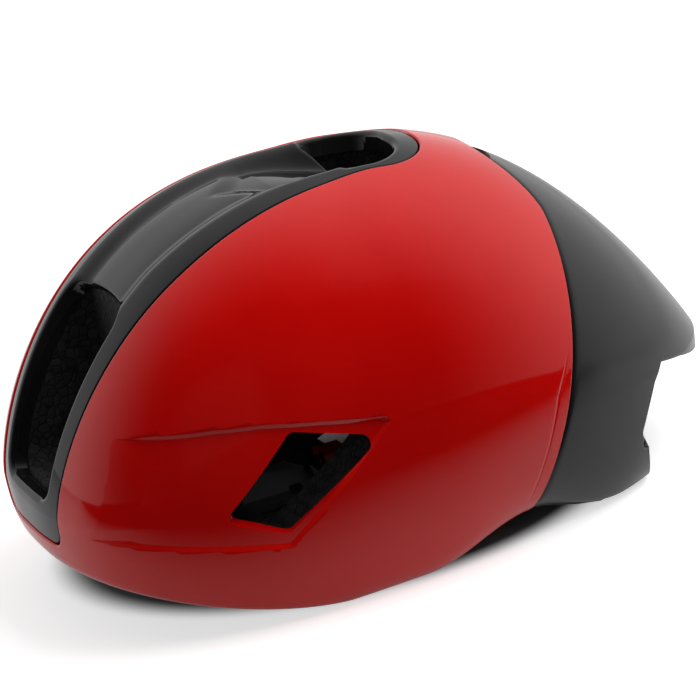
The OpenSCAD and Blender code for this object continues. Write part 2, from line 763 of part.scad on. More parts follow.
// A crowned pad on the cavity wall, from angle a0 to a1 and from height z0 to z1.
// Two sewn channels cross it, and its long sides draw in between its ends.
pad_back = 1.4;
function pad_height(u, v) =
    let (edge = (1 - pow(abs(u), 6)) * (1 - pow(abs(v), 4)),
        seam = exp(-pow(9 * (abs(u) - 0.36), 2)))
    0.8 + (pad_t - 0.8) * sqrt(max(0, edge)) * (1 - 0.35 * seam);
module wall_pad(a, zs, n, m) {
    function at(i, j, top) =
        let (u = 2 * i / n - 1, v = 2 * j / m - 1,
            draw = 1 - 0.1 * (1 - u * u) - 0.12 * pow(abs(u), 8),
            z = (zs[0] + zs[1]) / 2 + (zs[1] - zs[0]) / 2 * v * draw)
        wall_at(a[1] - (a[1] - a[0]) * (u + 1) / 2, z, pad_back + top * pad_height(u, v));
    closed_sheet([for (i = [0:n]) [for (j = [0:m]) at(i, j, 0)]],
        [for (i = [0:n]) [for (j = [0:m]) at(i, j, 1)]]);
}
// Solid between two grids of points with the same rows and columns.
module closed_sheet(back, front) {
    n = len(back) - 1;
    m = len(back[0]) - 1;
    c = m + 1;
    f = (n + 1) * c;
    points = concat([for (r = back) each r], [for (r = front) each r]);
    faces = concat(
        [for (i = [0:n - 1], j = [0:m - 1]) let (a = i * c + j)
            each [[a, a + c, a + c + 1], [a, a + c + 1, a + 1]]],
        [for (i = [0:n - 1], j = [0:m - 1]) let (a = f + i * c + j)
            each [[a, a + c + 1, a + c], [a, a + 1, a + c + 1]]],
        [for (i = [0:n - 1]) let (a = i * c) each [[a, f + a, f + a + c], [a, f + a + c, a + c]]],
        [for (i = [0:n - 1]) let (a = i * c + m) each [[a, f + a + c, f + a], [a, a + c, f + a + c]]],
        [for (j = [0:m - 1]) each [[j, f + j + 1, f + j], [j, j + 1, f + j + 1]]],
        [for (j = [0:m - 1]) let (a = n * c + j)
            each [[a, f + a, f + a + 1], [a, f + a + 1, a + 1]]]);
    polyhedron(points, faces);
}
brow_a = [-132, -48];
brow_low = rim_z(270) + rim_h + 1.4;
brow_zs = [brow_low, brow_low + 14.5];
temple_a = [-2, 30];
temple_zs = [62, 84];
crown_a = [-34, 34];
crown_zs = [98, 117];
module brow_pad() { color(cloth) wall_pad(brow_a, brow_zs, 32, 6); }
module temple_pad_left() { color(cloth) wall_pad(temple_a, temple_zs, 14, 6); }
module temple_pad_right() { mirror([1, 0, 0]) temple_pad_left(); }
module crown_pad_left() { color(cloth) wall_pad(crown_a, crown_zs, 18, 6); }
module crown_pad_right() { mirror([1, 0, 0]) crown_pad_left(); }

// Hook dots, each flat on the wall behind a pad.
module dot(th, z) {
    n = wall_normal(th, z);
    translate(wall_at(th, z, 0.6)) rotate([0, acos(n[2]), atan2(n[1], n[0])])
        cylinder(r = dot_r, h = dot_t, $fn = 32);
}
module pad_dots() {
    color(web) {
        for (th = [-125, -102, -78, -55]) dot(th, (brow_zs[0] + brow_zs[1]) / 2);
        for (s = [0, 1]) mirror([s, 0, 0]) {
            for (th = [4, 24]) dot(th, (temple_zs[0] + temple_zs[1]) / 2);
            for (th = [-24, 24]) dot(th, (crown_zs[0] + crown_zs[1]) / 2);
        }
    }
}
// The nape pad is crowned like the others, on the head side of the housing.
module nape_pad() {
    n = 14;
    m = 8;
    w = 2 * housing_half - 16;
    h = housing_h - 8;
    function at(i, j, top) =
        let (u = 2 * i / n - 1, v = 2 * j / m - 1)
        [w / 2 * u, housing_y - soft_gap - 0.9 * top * pad_height(u, v), pivot_z + h / 2 * v];
    color(cloth) closed_sheet([for (i = [0:n]) [for (j = [0:m]) at(i, j, 0)]],
        [for (i = [0:n]) [for (j = [0:m]) at(i, j, 1)]]);
}

// Anchors sit in pockets of the cavity wall; the webbing ends in their slots.
anchor_at = [-8, 44];
function anchor_z(th) = th < 0 ? 16 : 25;
anchor_sink = 3.5;
anchor_w = 20;
anchor_h = 8;
module at_anchor(th) {
    n = wall_normal(th, anchor_z(th));
    translate(head_at(th, anchor_z(th))) rotate([0, 0, atan2(n[1], n[0])]) children();
}
module strap_anchors() {
    color(black) for (s = [0, 1], th = anchor_at)
        mirror([s, 0, 0]) at_anchor(th) difference() {
            translate([-anchor_sink, -anchor_w / 2, -anchor_h / 2])
                cube([anchor_sink + 1.5, anchor_w, anchor_h]);
            translate([-anchor_sink - 1, -web_w / 2 - 0.3, -web_t / 2 - 0.2])
                cube([anchor_sink + 4, web_w + 0.6, web_t + 0.4]);
        }
}

// Webbing swept along a cubic curve, turning its width from one direction to another.
function bend(p, t) =
    p[0] * pow(1 - t, 3) + p[1] * 3 * t * pow(1 - t, 2) + p[2] * 3 * t * t * (1 - t) + p[3] * pow(t, 3);
function bend_dir(p, t) =
    (p[1] - p[0]) * pow(1 - t, 2) + (p[2] - p[1]) * 2 * t * (1 - t) + (p[3] - p[2]) * t * t;
// It starts with a straight head and ends with a straight tail.
module webbing(p, side0, side1, head, tail) {
    function ring(c, d, s) = let (up = cross(d, s), u = up / norm(up),
        w = cross(u, d) / norm(d) * web_w / 2, h = u * web_t / 2)
        [c - w - h, c + w - h, c + w + h, c - w + h];
    steps = 8;
    rings = concat([ring(p[0] - head, head, side0)],
        [for (i = [0:steps]) let (t = i / steps)
            ring(bend(p, t), bend_dir(p, t), side0 * (1 - t) + side1 * t)],
        [ring(p[3] + tail, tail, side1)]);
    n = steps + 2;
    polyhedron([for (r = rings) each r], concat(
        [[0, 1, 2, 3], [4 * n + 3, 4 * n + 2, 4 * n + 1, 4 * n]],
        [for (i = [0:n - 1], k = [0:3])
            let (a = 4 * i + k, b = 4 * i + (k + 1) % 4)
            each [[a, a + 4, b + 4], [a, b + 4, b]]]));
}
layer_b = web_z + web_t;
layer_c = layer_b + web_t + 0.2;
module strap_to_divider(th, end, dir, tail, side) {
    n = wall_normal(th, anchor_z(th));
    p = head_at(th, anchor_z(th)) + 2 * n;
    color(web) webbing([p, p + 10 * n, end + dir, end], [-n[1], n[0], 0], side, 4 * n, tail);
}
module strap_front_left() {
    strap_to_divider(anchor_at[0], [divider_x + divider_half + 0.5, divider_y, layer_b + web_t / 2],
        [10, 0, 0], [1.5 - divider_half, 0, 0], [0, -1, 0]);
}
module strap_front_right() { mirror([1, 0, 0]) strap_front_left(); }
module strap_rear_left() {
    strap_to_divider(anchor_at[1], [divider_x, divider_y + divider_half + 0.5, layer_c + web_t / 2],
        [0, 16, 0], [0, -divider_half - 3, 0], [1, 0, 0]);
}
module strap_rear_right() { mirror([1, 0, 0]) strap_rear_left(); }

// Divider that joins the front and rear webbing, open on all four sides between its posts.
divider_half = 10;
divider_base_z = 0.2;
divider_roof_z = layer_c + web_t + 0.3;
cam_x = divider_x - 6;
cam_z = divider_roof_z + 3.8;
module divider_left() {
    color(black) translate([divider_x, divider_y, 0]) difference() {
        union() {
            translate([-divider_half, -divider_half, divider_base_z])
                cube([2 * divider_half, 2 * divider_half, 1]);
            translate([-divider_half, -divider_half, divider_roof_z])
                cube([2 * divider_half, 2 * divider_half, 1.2]);
            for (x = [-divider_half, divider_half - 2], y = [-divider_half, divider_half - 2])
                translate([x, y, divider_base_z]) cube([2, 2, divider_roof_z + 1 - divider_base_z]);
            for (y = [-7.8, 6.2])
                translate([cam_x - divider_x - 2.4, y, divider_roof_z]) cube([4.8, 1.6, 6]);
        }
        translate([cam_x - divider_x, 0, cam_z]) rotate([90, 0, 0])
            cylinder(r = 1 + run_gap, h = 30, center = true, $fn = 32);
    }
}
module divider_right() { mirror([1, 0, 0]) divider_left(); }
module cam_left() {
    color(red) translate([cam_x, divider_y, cam_z]) union() {
        rotate([90, 0, 0]) cylinder(r = 1, h = 15.4, center = true, $fn = 32);
        rotate([90, 0, 0]) cylinder(r = 1.9, h = 11.8, center = true, $fn = 32);
        translate([0, -5.9, 0]) cube([13, 11.8, 1.7]);
        translate([11.4, -5.9, -1.6]) cube([1.6, 11.8, 2]);
    }
}
module cam_right() { mirror([1, 0, 0]) cam_left(); }

// Chin webbing folded flat: out of the divider, forwards, and into the buckle.
chin_x = 29;
buckle_half = buckle_l / 2;
module chin_strap_left() {
    h = web_w / 2;
    y0 = divider_y;
    y1 = buckle_y;
    color(web) union() {
        translate([0, 0, layer_b]) linear_extrude(web_t)
            polygon([[divider_x - 0.5, y0 + h], [chin_x + h, y0 + h], [chin_x - h, y0 - h],
                [divider_x - 0.5, y0 - h]]);
        translate([0, 0, web_z]) linear_extrude(web_t)
            polygon([[chin_x + h, y0 + h], [chin_x - h, y0 - h], [chin_x - h, y1 - h],
                [chin_x + h, y1 + h]]);
        translate([0, 0, layer_b]) linear_extrude(web_t)
            polygon([[chin_x + h, y1 + h], [chin_x - h, y1 - h], [buckle_half - 3, y1 - h],
                [buckle_half - 3, y1 + h]]);
    }
}
module chin_strap_right() { mirror([1, 0, 0]) chin_strap_left(); }
module chin_pad() {
    n = 12;
    m = 6;
    l = 34;
    y0 = (divider_y + buckle_y) / 2;
    function at(i, j, top) =
        let (u = 2 * i / n - 1, v = 2 * j / m - 1)
        [chin_x + 10 * v * (1 - 0.08 * (1 - u * u)), y0 - l / 2 * u,
            web_z + web_t + soft_gap + top * 0.8 * pad_height(u, v)];
    color(cloth) closed_sheet([for (i = [0:n]) [for (j = [0:m]) at(i, j, 0)]],
        [for (i = [0:n]) [for (j = [0:m]) at(i, j, 1)]]);
}
module strap_keeper() {
    color([0.12, 0.12, 0.12]) translate([-chin_x, (divider_y + buckle_y) / 2 + 6, 0]) difference() {
        translate([-web_w / 2 - 1.6, 0, divider_base_z]) cube([web_w + 3.2, 5, web_z + web_t + 0.8]);
        translate([-web_w / 2 - 0.3, -1, web_z - 0.2]) cube([web_w + 0.6, 7, web_t + 0.4]);
    }
}

// Buckle: the plug's hooked tongue slides sideways out of the socket.
buckle_z = 0.3;
buckle_h = 8;
tongue_z = buckle_z + 4;
module buckle_half_body() {
    difference() {
        hull() for (x = [3, buckle_half - 2], y = [-1, 1])
            translate([x, buckle_y + y * (buckle_w / 2 - 2), buckle_z]) cylinder(r = 2, h = buckle_h, $fn = 24);
        translate([buckle_half - 4, buckle_y - web_w / 2 - 0.3, layer_b - 0.2])
            cube([8, web_w + 0.6, web_t + 0.4]);
    }
}
module buckle_socket() {
    color(black) difference() {
        buckle_half_body();
        translate([0, buckle_y - buckle_w, tongue_z - 0.2]) cube([9.2, 1.5 * buckle_w - 2, 2.4]);
        translate([6.4, buckle_y - buckle_w, tongue_z - 1.4]) cube([2.8, 1.5 * buckle_w - 2, 2]);
        translate([11.5, buckle_y, buckle_z + buckle_h - 1.9]) cylinder(r = 3 + run_gap, h = 3, $fn = 32);
    }
}
module buckle_magnet() {
    color("silver") translate([11.5, buckle_y, buckle_z + buckle_h - 1.8])
        cylinder(r = 3, h = 1.7, $fn = 32);
}
module buckle_plug() {
    color(black) union() {
        mirror([1, 0, 0]) buckle_half_body();
        translate([-2, buckle_y - buckle_w / 2 + 1, tongue_z]) cube([11, buckle_w - 3.2, 2]);
        translate([6.6, buckle_y - buckle_w / 2 + 1, tongue_z - 1.2]) cube([2.4, buckle_w - 3.2, 2]);
    }
}

front_shell();
rear_shell();
centre_insert();
lower_rim();
eps_liner();
strap_anchors();
pivot_socket_left();
pivot_socket_right();
height_strip();
brow_pad();
temple_pad_left();
temple_pad_right();
crown_pad_left();
crown_pad_right();
pad_dots();
strap_front_left();
strap_front_right();
strap_rear_left();
strap_rear_right();
divider_left();
divider_right();
cam_left();
cam_right();
chin_strap_left();
chin_strap_right();
chin_pad();
strap_keeper();
buckle_socket();
buckle_magnet();
buckle_plug();
cradle_housing();
cradle_cover();
cradle_screws();
clip_left();
clip_right();
nape_pad();
arm_left();
arm_right();
dial_knob();
dial_grip();
dial_pinion();
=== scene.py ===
"""Aero road bike helmet: two-part shell, centre insert, foam, pads, straps and fit cradle."""

import math

import bpy
import numpy as np
from mathutils import Matrix


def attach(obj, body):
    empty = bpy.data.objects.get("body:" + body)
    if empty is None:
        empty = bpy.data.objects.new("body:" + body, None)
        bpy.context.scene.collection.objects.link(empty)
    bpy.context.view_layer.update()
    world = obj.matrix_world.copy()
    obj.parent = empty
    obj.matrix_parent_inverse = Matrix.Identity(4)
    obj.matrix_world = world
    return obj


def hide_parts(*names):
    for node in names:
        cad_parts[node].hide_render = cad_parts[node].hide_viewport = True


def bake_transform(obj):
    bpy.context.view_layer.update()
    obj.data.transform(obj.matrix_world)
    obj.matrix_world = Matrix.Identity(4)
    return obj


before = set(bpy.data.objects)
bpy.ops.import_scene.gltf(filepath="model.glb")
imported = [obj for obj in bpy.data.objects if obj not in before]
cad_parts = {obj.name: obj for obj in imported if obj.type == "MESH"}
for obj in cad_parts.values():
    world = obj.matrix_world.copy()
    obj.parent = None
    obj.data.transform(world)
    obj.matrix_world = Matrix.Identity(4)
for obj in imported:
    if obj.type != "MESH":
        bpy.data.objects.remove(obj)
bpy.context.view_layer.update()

# Camera: a long lens from the wearer's left front, a little above, rolled as the photograph is.
# The three directions are its right, its up and the way back from the helmet.
CAMERA_BEARING = math.radians(69.64)
CAMERA_RISE = math.radians(19.57)
CAMERA_ROLL = math.radians(-9.39)
CAMERA_AIM = np.array([0, 0, 0.08])
CAMERA_AWAY = 1.4
FOCAL_PIXELS = 3380.6
IMAGE_SIDE = 700
IMAGE_MIDDLE = (327.85, 333.3)

back = np.array(
    [
        math.sin(CAMERA_BEARING) * math.cos(CAMERA_RISE),
        -math.cos(CAMERA_BEARING) * math.cos(CAMERA_RISE),
        math.sin(CAMERA_RISE),
    ]
)
level_right = np.array([math.cos(CAMERA_BEARING), math.sin(CAMERA_BEARING), 0])
level_up = np.cross(back, level_right)
right = level_right * math.cos(CAMERA_ROLL) + level_up * math.sin(CAMERA_ROLL)
up = level_up * math.cos(CAMERA_ROLL) - level_right * math.sin(CAMERA_ROLL)

camera_data = bpy.data.cameras.new("camera")
camera_data.sensor_width = 36
camera_data.lens = FOCAL_PIXELS / IMAGE_SIDE * camera_data.sensor_width
camera_data.shift_x = 0.5 - IMAGE_MIDDLE[0] / IMAGE_SIDE
camera_data.shift_y = IMAGE_MIDDLE[1] / IMAGE_SIDE - 0.5
camera_data.clip_end = 20
camera = bpy.data.objects.new("camera", camera_data)
bpy.context.scene.collection.objects.link(camera)
place = np.eye(4)
place[:3, :3] = np.stack([right, up, back], axis=1)
place[:3, 3] = CAMERA_AIM + CAMERA_AWAY * back
camera.matrix_world = Matrix(place.tolist())
bpy.context.scene.camera = camera
bpy.context.scene.view_settings.view_transform = "Standard"

# Floor and studio light: a white sweep that ends a hand's width in front of the helmet, a white
# room that darkens towards the camera, one broad lamp overhead and a weak one in front.


class Wire:
    """A socket in a material's node tree: sums on it add Math nodes, and node() adds any other."""

    def __init__(self, tree, socket=None):
        self.tree = tree
        self.socket = socket

    def node(self, kind, inputs=None, out=0, **settings):
        """One node of a kind: its settings first, then the values or wires of its sockets."""
        made = self.tree.nodes.new("ShaderNode" + kind)
        for name, value in settings.items():
            setattr(made, name, value)
        for name, value in (inputs or {}).items():
            if isinstance(value, Wire):
                self.tree.links.new(value.socket, made.inputs[name])
            else:
                made.inputs[name].default_value = value
        return Wire(self.tree, made.outputs[out] if made.outputs else None)

    def sum(self, operation, *values):
        """A Math node of an operation on wires or numbers."""
        return self.node("Math", dict(enumerate(values)), operation=operation)

    def __add__(self, other):
        return self.sum("ADD", self, other)

    def __sub__(self, other):
        return self.sum("SUBTRACT", self, other)

    def __rsub__(self, other):
        return self.sum("SUBTRACT", other, self)

    def __mul__(self, other):
        return self.sum("MULTIPLY", self, other)

    __radd__ = __add__
    __rmul__ = __mul__

    def band(self, low, high):
        """0 below low, 1 above high, smooth between them."""
        return self.node(
            "MapRange",
            {"Value": self, "From Min": low, "From Max": high},
            interpolation_type="SMOOTHSTEP",
        )

    def blend(self, first, second):
        """The first colour where this wire is 0 and the second where it is 1."""
        first, second = (c if isinstance(c, Wire) else (*c, 1) for c in (first, second))
        return self.node("Mix", {0: self, 6: first, 7: second}, out=2, data_type="RGBA")


def new_material(name):
    """An empty material, a wire to build its nodes from, and its object coordinates in mm."""
    material = bpy.data.materials.new(name)
    material.use_nodes = True
    material.node_tree.nodes.clear()
    start = Wire(material.node_tree)
    spot = start.node("TexCoord", out="Object")
    scaled = start.node("VectorMath", {0: spot, 3: 1000.0}, operation="SCALE")
    return material, start, scaled


def link_mesh(name, points, faces, material, normals=None):
    """A smooth mesh object at the origin from points in millimetres and a list of faces."""
    mesh = bpy.data.meshes.new(name)
    mesh.from_pydata((np.asarray(points) / 1000.0).tolist(), [], np.asarray(faces).tolist())
    mesh.materials.append(material)
    mesh.polygons.foreach_set("use_smooth", np.ones(len(mesh.polygons), bool))
    if normals is not None:
        mesh.normals_split_custom_set_from_vertices(np.asarray(normals).tolist())
    mesh.update()
    piece = bpy.data.objects.new(name, mesh)
    bpy.context.scene.collection.objects.link(piece)
    return piece


def rays(start, *kinds):
    """1 for the kinds of ray named, and 0 for the others."""
    share = start.node("LightPath", out="Is %s Ray" % kinds[0])
    for kind in kinds[1:]:
        share = start.sum("MAXIMUM", share, start.node("LightPath", out="Is %s Ray" % kind))
    return share


def towards(start, spot, direction):
    """How far a place or a direction lies along another direction."""
    unit = np.array(direction, float) / np.linalg.norm(direction)
    return start.node("VectorMath", {0: spot, 1: unit.tolist()}, out=1, operation="DOT_PRODUCT")


FLOOR_HALF, FLOOR_Z = 6000, -0.2
DARK_SIDE = (0.87, -0.33, 0.35)
SWEEP_WAY, SWEEP_END = (0.94, -0.35, 0), (50, 230)
SHADE_X, SHADE_HALF = -14, (98, 126)
floor_material, start, spot = new_material("floor")
sweep = 1 - towards(start, spot, SWEEP_WAY).band(*SWEEP_END)
direct = rays(start, "Camera")
# Painted shade on the floor: its colour and its glow fall off under the helmet, so that no white
# shows through the side vents.
middle = start.node("VectorMath", {0: spot, 1: (-SHADE_X, 0, 0)}, operation="ADD")
shrink = (1 / SHADE_HALF[0], 1 / SHADE_HALF[1], 0)
under = start.node("VectorMath", {0: middle, 1: shrink}, operation="MULTIPLY")
outside_painted_shade = start.node("VectorMath", {0: under}, out=1, operation="LENGTH").band(0.9, 1.05)
tone = start.sum("MAXIMUM", direct, sweep) * (outside_painted_shade * 0.62 + 0.16) + 0.02
pale = start.node("BsdfDiffuse", {"Color": start.node("CombineXYZ", {0: tone, 1: tone, 2: tone})})
gloss = rays(start, "Glossy", "Transmission")
glow = (direct * 0.6 + gloss * sweep * 0.25) * outside_painted_shade
lift = start.node("Emission", {"Color": (1, 1, 1, 1), "Strength": glow})
start.node("OutputMaterial", {"Surface": start.node("AddShader", {0: pale, 1: lift})})
floor = link_mesh(
    "floor",
    [(x * FLOOR_HALF, y * FLOOR_HALF, FLOOR_Z) for x, y in ((-1, -1), (1, -1), (1, 1), (-1, 1))],
    [(0, 1, 2, 3)],
    floor_material,
)

world = bpy.data.worlds.new("room")
bpy.context.scene.world = world
world.use_nodes = True
world.node_tree.nodes.clear()
start = Wire(world.node_tree)
way = start.node("TexCoord", out="Generated")
lit = 1.02 - towards(start, way, DARK_SIDE).band(-0.25, 0.78)
lit = start.sum("MAXIMUM", rays(start, "Camera"), lit)
lit = start.sum("MINIMUM", lit, 1.0)
room = start.node("Background", {"Color": (1, 1, 1, 1), "Strength": lit * 0.8})
white = start.node("Background", {"Color": (1, 1, 1, 1), "Strength": lit})
seen = rays(start, "Camera", "Glossy", "Transmission")
start.node("OutputWorld", {"Surface": start.node("MixShader", {0: seen, 1: room, 2: white})})


def add_lamp(name, spot, aim, size, power):
    """A square area lamp at a spot, turned to face a point, both in metres."""
    data = bpy.data.lights.new(name, "AREA")
    data.shape = "RECTANGLE"
    data.size, data.size_y = size
    data.energy = power
    lamp = bpy.data.objects.new(name, data)
    bpy.context.scene.collection.objects.link(lamp)
    away = np.array(spot, float) - np.array(aim, float)
    away /= np.linalg.norm(away)
    side = np.cross([0.02, 1, 0.01], away)
    side /= np.linalg.norm(side)
    turn = np.eye(4)
    turn[:3, :3] = np.stack([side, np.cross(away, side), away], axis=1)
    turn[:3, 3] = spot
    lamp.matrix_world = Matrix(turn.tolist())
    lamp.visible_glossy = False


add_lamp("lamp_top", (0.3, 0.9, 1.5), (0, 0.02, 0.09), (1.2, 1.2), 20)
add_lamp("lamp_side", (1.4, -0.9, 0.9), (0, 0, 0.08), (1.0, 1.0), 6)

# Front shell: glossy red polycarbonate, 1.4 mm thick, pressed in one piece and glued over the foam.
# It has a centre slot, a slanted vent in a sunken panel on each side, and rolled edges.
HALF_WIDTH = 100.2
FRONT_REACH, REAR_REACH = 145.9, 157.4
FRONT_POWER, REAR_POWER = 2.65, 1.97
CROWN_Y, CROWN_Z = 4.7, 160.4
SHELL_WALL, RIM_LIP = 1.4, 1.0
QUARTER = np.pi / 2
# In front, at the side and behind: the height of the widest line, the two powers of the dome above
# it, and how far the form tucks in below it.
WAIST = (48.3, 53.9, 46.2)
DOME_ACROSS, DOME_UP = (2.55, 1.90, 2.39), (1.40, 2.05, 1.02)
TUCK = (5.1, 18.0, 15.5)
BROW_RISE, BROW_FROM, BROW_RUN = 26.6, -45, 100
EAR_RISE, EAR_Y, EAR_HALF = 12.2, 48.3, 57.7


def mix3(values, bearing):
    """Front, side and rear values, blended by the squared sine of the bearing."""
    front, side, rear = values
    share = np.sin(bearing) ** 2
    return np.where(np.sin(bearing) > 0, rear, front) * share + side * (1 - share)


def reach(bearing):
    """Plan of the widest line: a superellipse with its own length and squareness at each end."""
    rear = np.sin(bearing) > 0
    power = np.where(rear, REAR_POWER, FRONT_POWER)
    length = np.where(rear, REAR_REACH, FRONT_REACH)
    across = np.abs(np.cos(bearing)) / HALF_WIDTH
    along = np.abs(np.sin(bearing)) / length
    return (across**power + along**power) ** (-1 / power)


def rim_height(y):
    """The bottom edge rises towards the brow by a power and arches over the ears by a squared
    cosine."""
    brow = BROW_RISE * np.maximum(0, (BROW_FROM - y) / BROW_RUN) ** 1.5
    ear = EAR_RISE * np.cos(QUARTER * np.minimum(1, np.abs(y - EAR_Y) / EAR_HALF)) ** 2
    return brow + ear


def outside(q, sink=0.0):
    """The helmet's outside. q holds a bearing round the crown and a fall: 0 at the crown, 1 at the
    widest line, 2 at the rim. Above that line each bearing follows a superellipse, and below it a
    quarter ellipse tucks in. sink moves the whole form inwards."""
    bearing, fall = q[..., 0], q[..., 1]
    rho = np.sin(QUARTER * np.clip(fall, 0, 1)) ** 0.9
    turn = QUARTER * np.clip(fall - 1, 0, 1)
    waist = mix3(WAIST, bearing)
    rise = np.maximum(0, 1 - rho ** mix3(DOME_ACROSS, bearing)) ** (1 / mix3(DOME_UP, bearing))
    rim = rim_height(CROWN_Y + reach(bearing) * np.sin(bearing)) + RIM_LIP
    wide = reach(bearing) - sink
    upper = fall <= 1
    r = np.where(upper, wide * rho, wide - mix3(TUCK, bearing) * (1 - np.cos(turn)))
    z = np.where(
        upper, waist + (CROWN_Z - sink - waist) * rise, waist - (waist - rim) * np.sin(turn)
    )
    return np.stack([r * np.cos(bearing), CROWN_Y + r * np.sin(bearing), z], axis=-1)


def outline_gap(corners, y, z, radius=0.0):
    """Distance to a closed outline in the (y, z) plane, negative inside it, less a radius."""
    corners = np.array(corners, float)
    best = np.full(np.shape(y), 1e9)
    inside = np.zeros(np.shape(y), bool)
    for a, b in zip(corners, np.roll(corners, -1, axis=0)):
        edge = b - a
        t = np.clip(((y - a[0]) * edge[0] + (z - a[1]) * edge[1]) / (edge @ edge), 0, 1)
        best = np.minimum(best, np.hypot(y - a[0] - t * edge[0], z - a[1] - t * edge[1]))
        crosses = (a[1] > z) != (b[1] > z)
        slope = edge[0] / (edge[1] if edge[1] else 1e-9)
        inside ^= crosses & (y < a[0] + (z - a[1]) * slope)
    return np.where(inside, -best, best) - radius


def soft_min(a, b, reach_mm):
    """The smaller of two values, rounded where they are closer than a reach."""
    h = np.clip(0.5 + 0.5 * (b - a) / reach_mm, 0, 1)
    return b * (1 - h) + a * h - reach_mm * h * (1 - h)


SLOT_CROWN, SLOT_WIDE, SLOT_FOOT = 30.4, 41.2, 33
SLOT_REAR_Y, SLOT_WIDE_Y = 20, -80
SLOT_SPREAD, SLOT_CORNER = 0.104, 8
SLOT_END_Y, SLOT_END_RADIUS, SLOT_LOW = 49, 24, 36


def slot_share(y):
    """How far forward a point lies between the crown and the slot's widest place, 0 to 1."""
    return np.clip((SLOT_REAR_Y - y) / (SLOT_REAR_Y - SLOT_WIDE_Y), 0, 1)


def slot_gap(p, shrink=0, low=SLOT_LOW, end=0, leg=0):
    """Distance outside the centre slot, negative inside it: long, widest above the brow, with a
    round rear end and a lower end cut off at a height. A leg is a further shrinkage in front."""
    x, y, z = np.abs(p[..., 0]), p[..., 1], p[..., 2]
    plan = SLOT_CROWN + (SLOT_WIDE - SLOT_CROWN) * np.sin(QUARTER * slot_share(y)) ** 1.5
    foot = SLOT_FOOT - leg / 2 + SLOT_SPREAD * np.maximum(0, z - low - SLOT_CORNER)
    width = soft_min(plan - leg * slot_share(y), foot, 2.0) - shrink
    gaps = []
    for round_end, ahead in (
        (SLOT_END_RADIUS - shrink, y - (SLOT_END_Y - end - shrink)),
        (SLOT_CORNER, low - z),
    ):
        a, b = x - (width - round_end), ahead + round_end
        corner = np.hypot(np.maximum(a, 0), np.maximum(b, 0))
        gaps.append(corner + np.minimum(np.maximum(a, b), 0) - round_end)
    return np.maximum(*gaps)


SPLIT_Y, SPLIT_Z = 84.2, 122
LOW_LEAD, LOW_DROP = 39, 102
TOP_LEAD, TOP_RISE = 11.5, 22
SEAM_LEAD, SEAM_DEEP, SEAM_HALF = 6.5, 0.22, 0.45


def split_gap(p):
    """Distance behind the line where the red shell ends and the black one starts. It lies furthest
    back at one height, and comes forwards by a power of the drop and of the rise from there."""
    above = p[..., 2] - SPLIT_Z
    low = LOW_LEAD * np.maximum(0, -above / LOW_DROP) ** 1.25
    top = TOP_LEAD * np.maximum(0, above / TOP_RISE) ** 1.6
    return p[..., 1] - (SPLIT_Y - low - top)


def seam_gap(p):
    """The seam runs down the side a little ahead of the split line, and meets it higher up."""
    return split_gap(p) + SEAM_LEAD * np.clip((88 - p[..., 2]) / 26, 0, 1)


# The slanted vent and the sunken panel round it from the side: y and z of the corners.
HOLE = [(-55, 76), (-30, 69), (-64.5, 44.5), (-81, 51)]
RECESS = [
    (-118, 83), (-100, 84.3), (-84, 84.5), (-66, 83.6), (-44, 80.2), (-18, 75.5),
    (-64, 36), (-104, 42), (-131, 46),
]
HOLE_ROUND, RECESS_ROUND = 4.0, 1.5
RECESS_SINK, FLOOR_SLOPE, WALL_SLOPE = 6.0, 0.125, 0.9
FACET_DIP, FACET_WIDE = 2.0, 7.0


def hole_gap(p):
    """Distance outside the slanted vent."""
    return outline_gap(HOLE, p[..., 1], p[..., 2], HOLE_ROUND)


def recess_gap(p):
    """Distance outside the sunken panel."""
    return outline_gap(RECESS, p[..., 1], p[..., 2], RECESS_ROUND)


def recess_depth(p):
    """Depth of the sunken panel: a floor that sinks by a slope from its soft front edge, which
    leans back by 15 in 38, walls that climb to the outline, and a facet that dips into the vent."""
    y, z = p[..., 1], p[..., 2]
    inset = -recess_gap(p)
    front_y, front_z = RECESS[-1]
    front = (y - front_y) - (z - front_z) * 15 / 38
    floor_depth = soft_min(RECESS_SINK, FLOOR_SLOPE * np.maximum(front, 0), 0.5)
    walls = WALL_SLOPE * np.maximum(inset, 0)
    facet = FACET_DIP * np.clip(1 - (hole_gap(p) - 0.3) / FACET_WIDE, 0, 1)
    ahead = np.clip((-44 - y + (z - 60) * 0.8) / 6, 0, 1)
    depth = soft_min(floor_depth + facet * ahead, walls, 0.8)
    return np.where(inset > 0, np.maximum(depth, 0), 0)


def rolled(gap, radius):
    """Fall of a rolled edge: nothing at its radius from the cut, all of it at the cut itself."""
    near = np.clip(1 + gap / radius, 0, 1)
    return radius * (1 - np.sqrt(1 - near**2 * 0.999))


def tangents(form, q, step=2e-4):
    """Central differences of a form in its two parameters."""
    h = np.array([[step, 0], [0, step]])
    return [(form(q + d) - form(q - d)) / (2 * step) for d in h]


def outward(form, q):
    """Unit normals of a form."""
    u, v = tangents(form, q)
    n = np.cross(v, u)
    return n / np.maximum(np.linalg.norm(n, axis=-1, keepdims=True), 1e-12)


def true_gap(form, gap, q):
    """A gap's value over its slope on the form: the distance along the surface to where it is 0."""
    u, v = tangents(form, q)
    gu, gv = tangents(lambda s: gap(form(s)), q)
    e, f, g = (u * u).sum(-1), (u * v).sum(-1), (v * v).sum(-1)
    slope = (g * gu**2 - 2 * f * gu * gv + e * gv**2) / np.maximum(e * g - f * f, 1e-9)
    return gap(form(q)) / np.sqrt(np.maximum(slope, 1e-6))


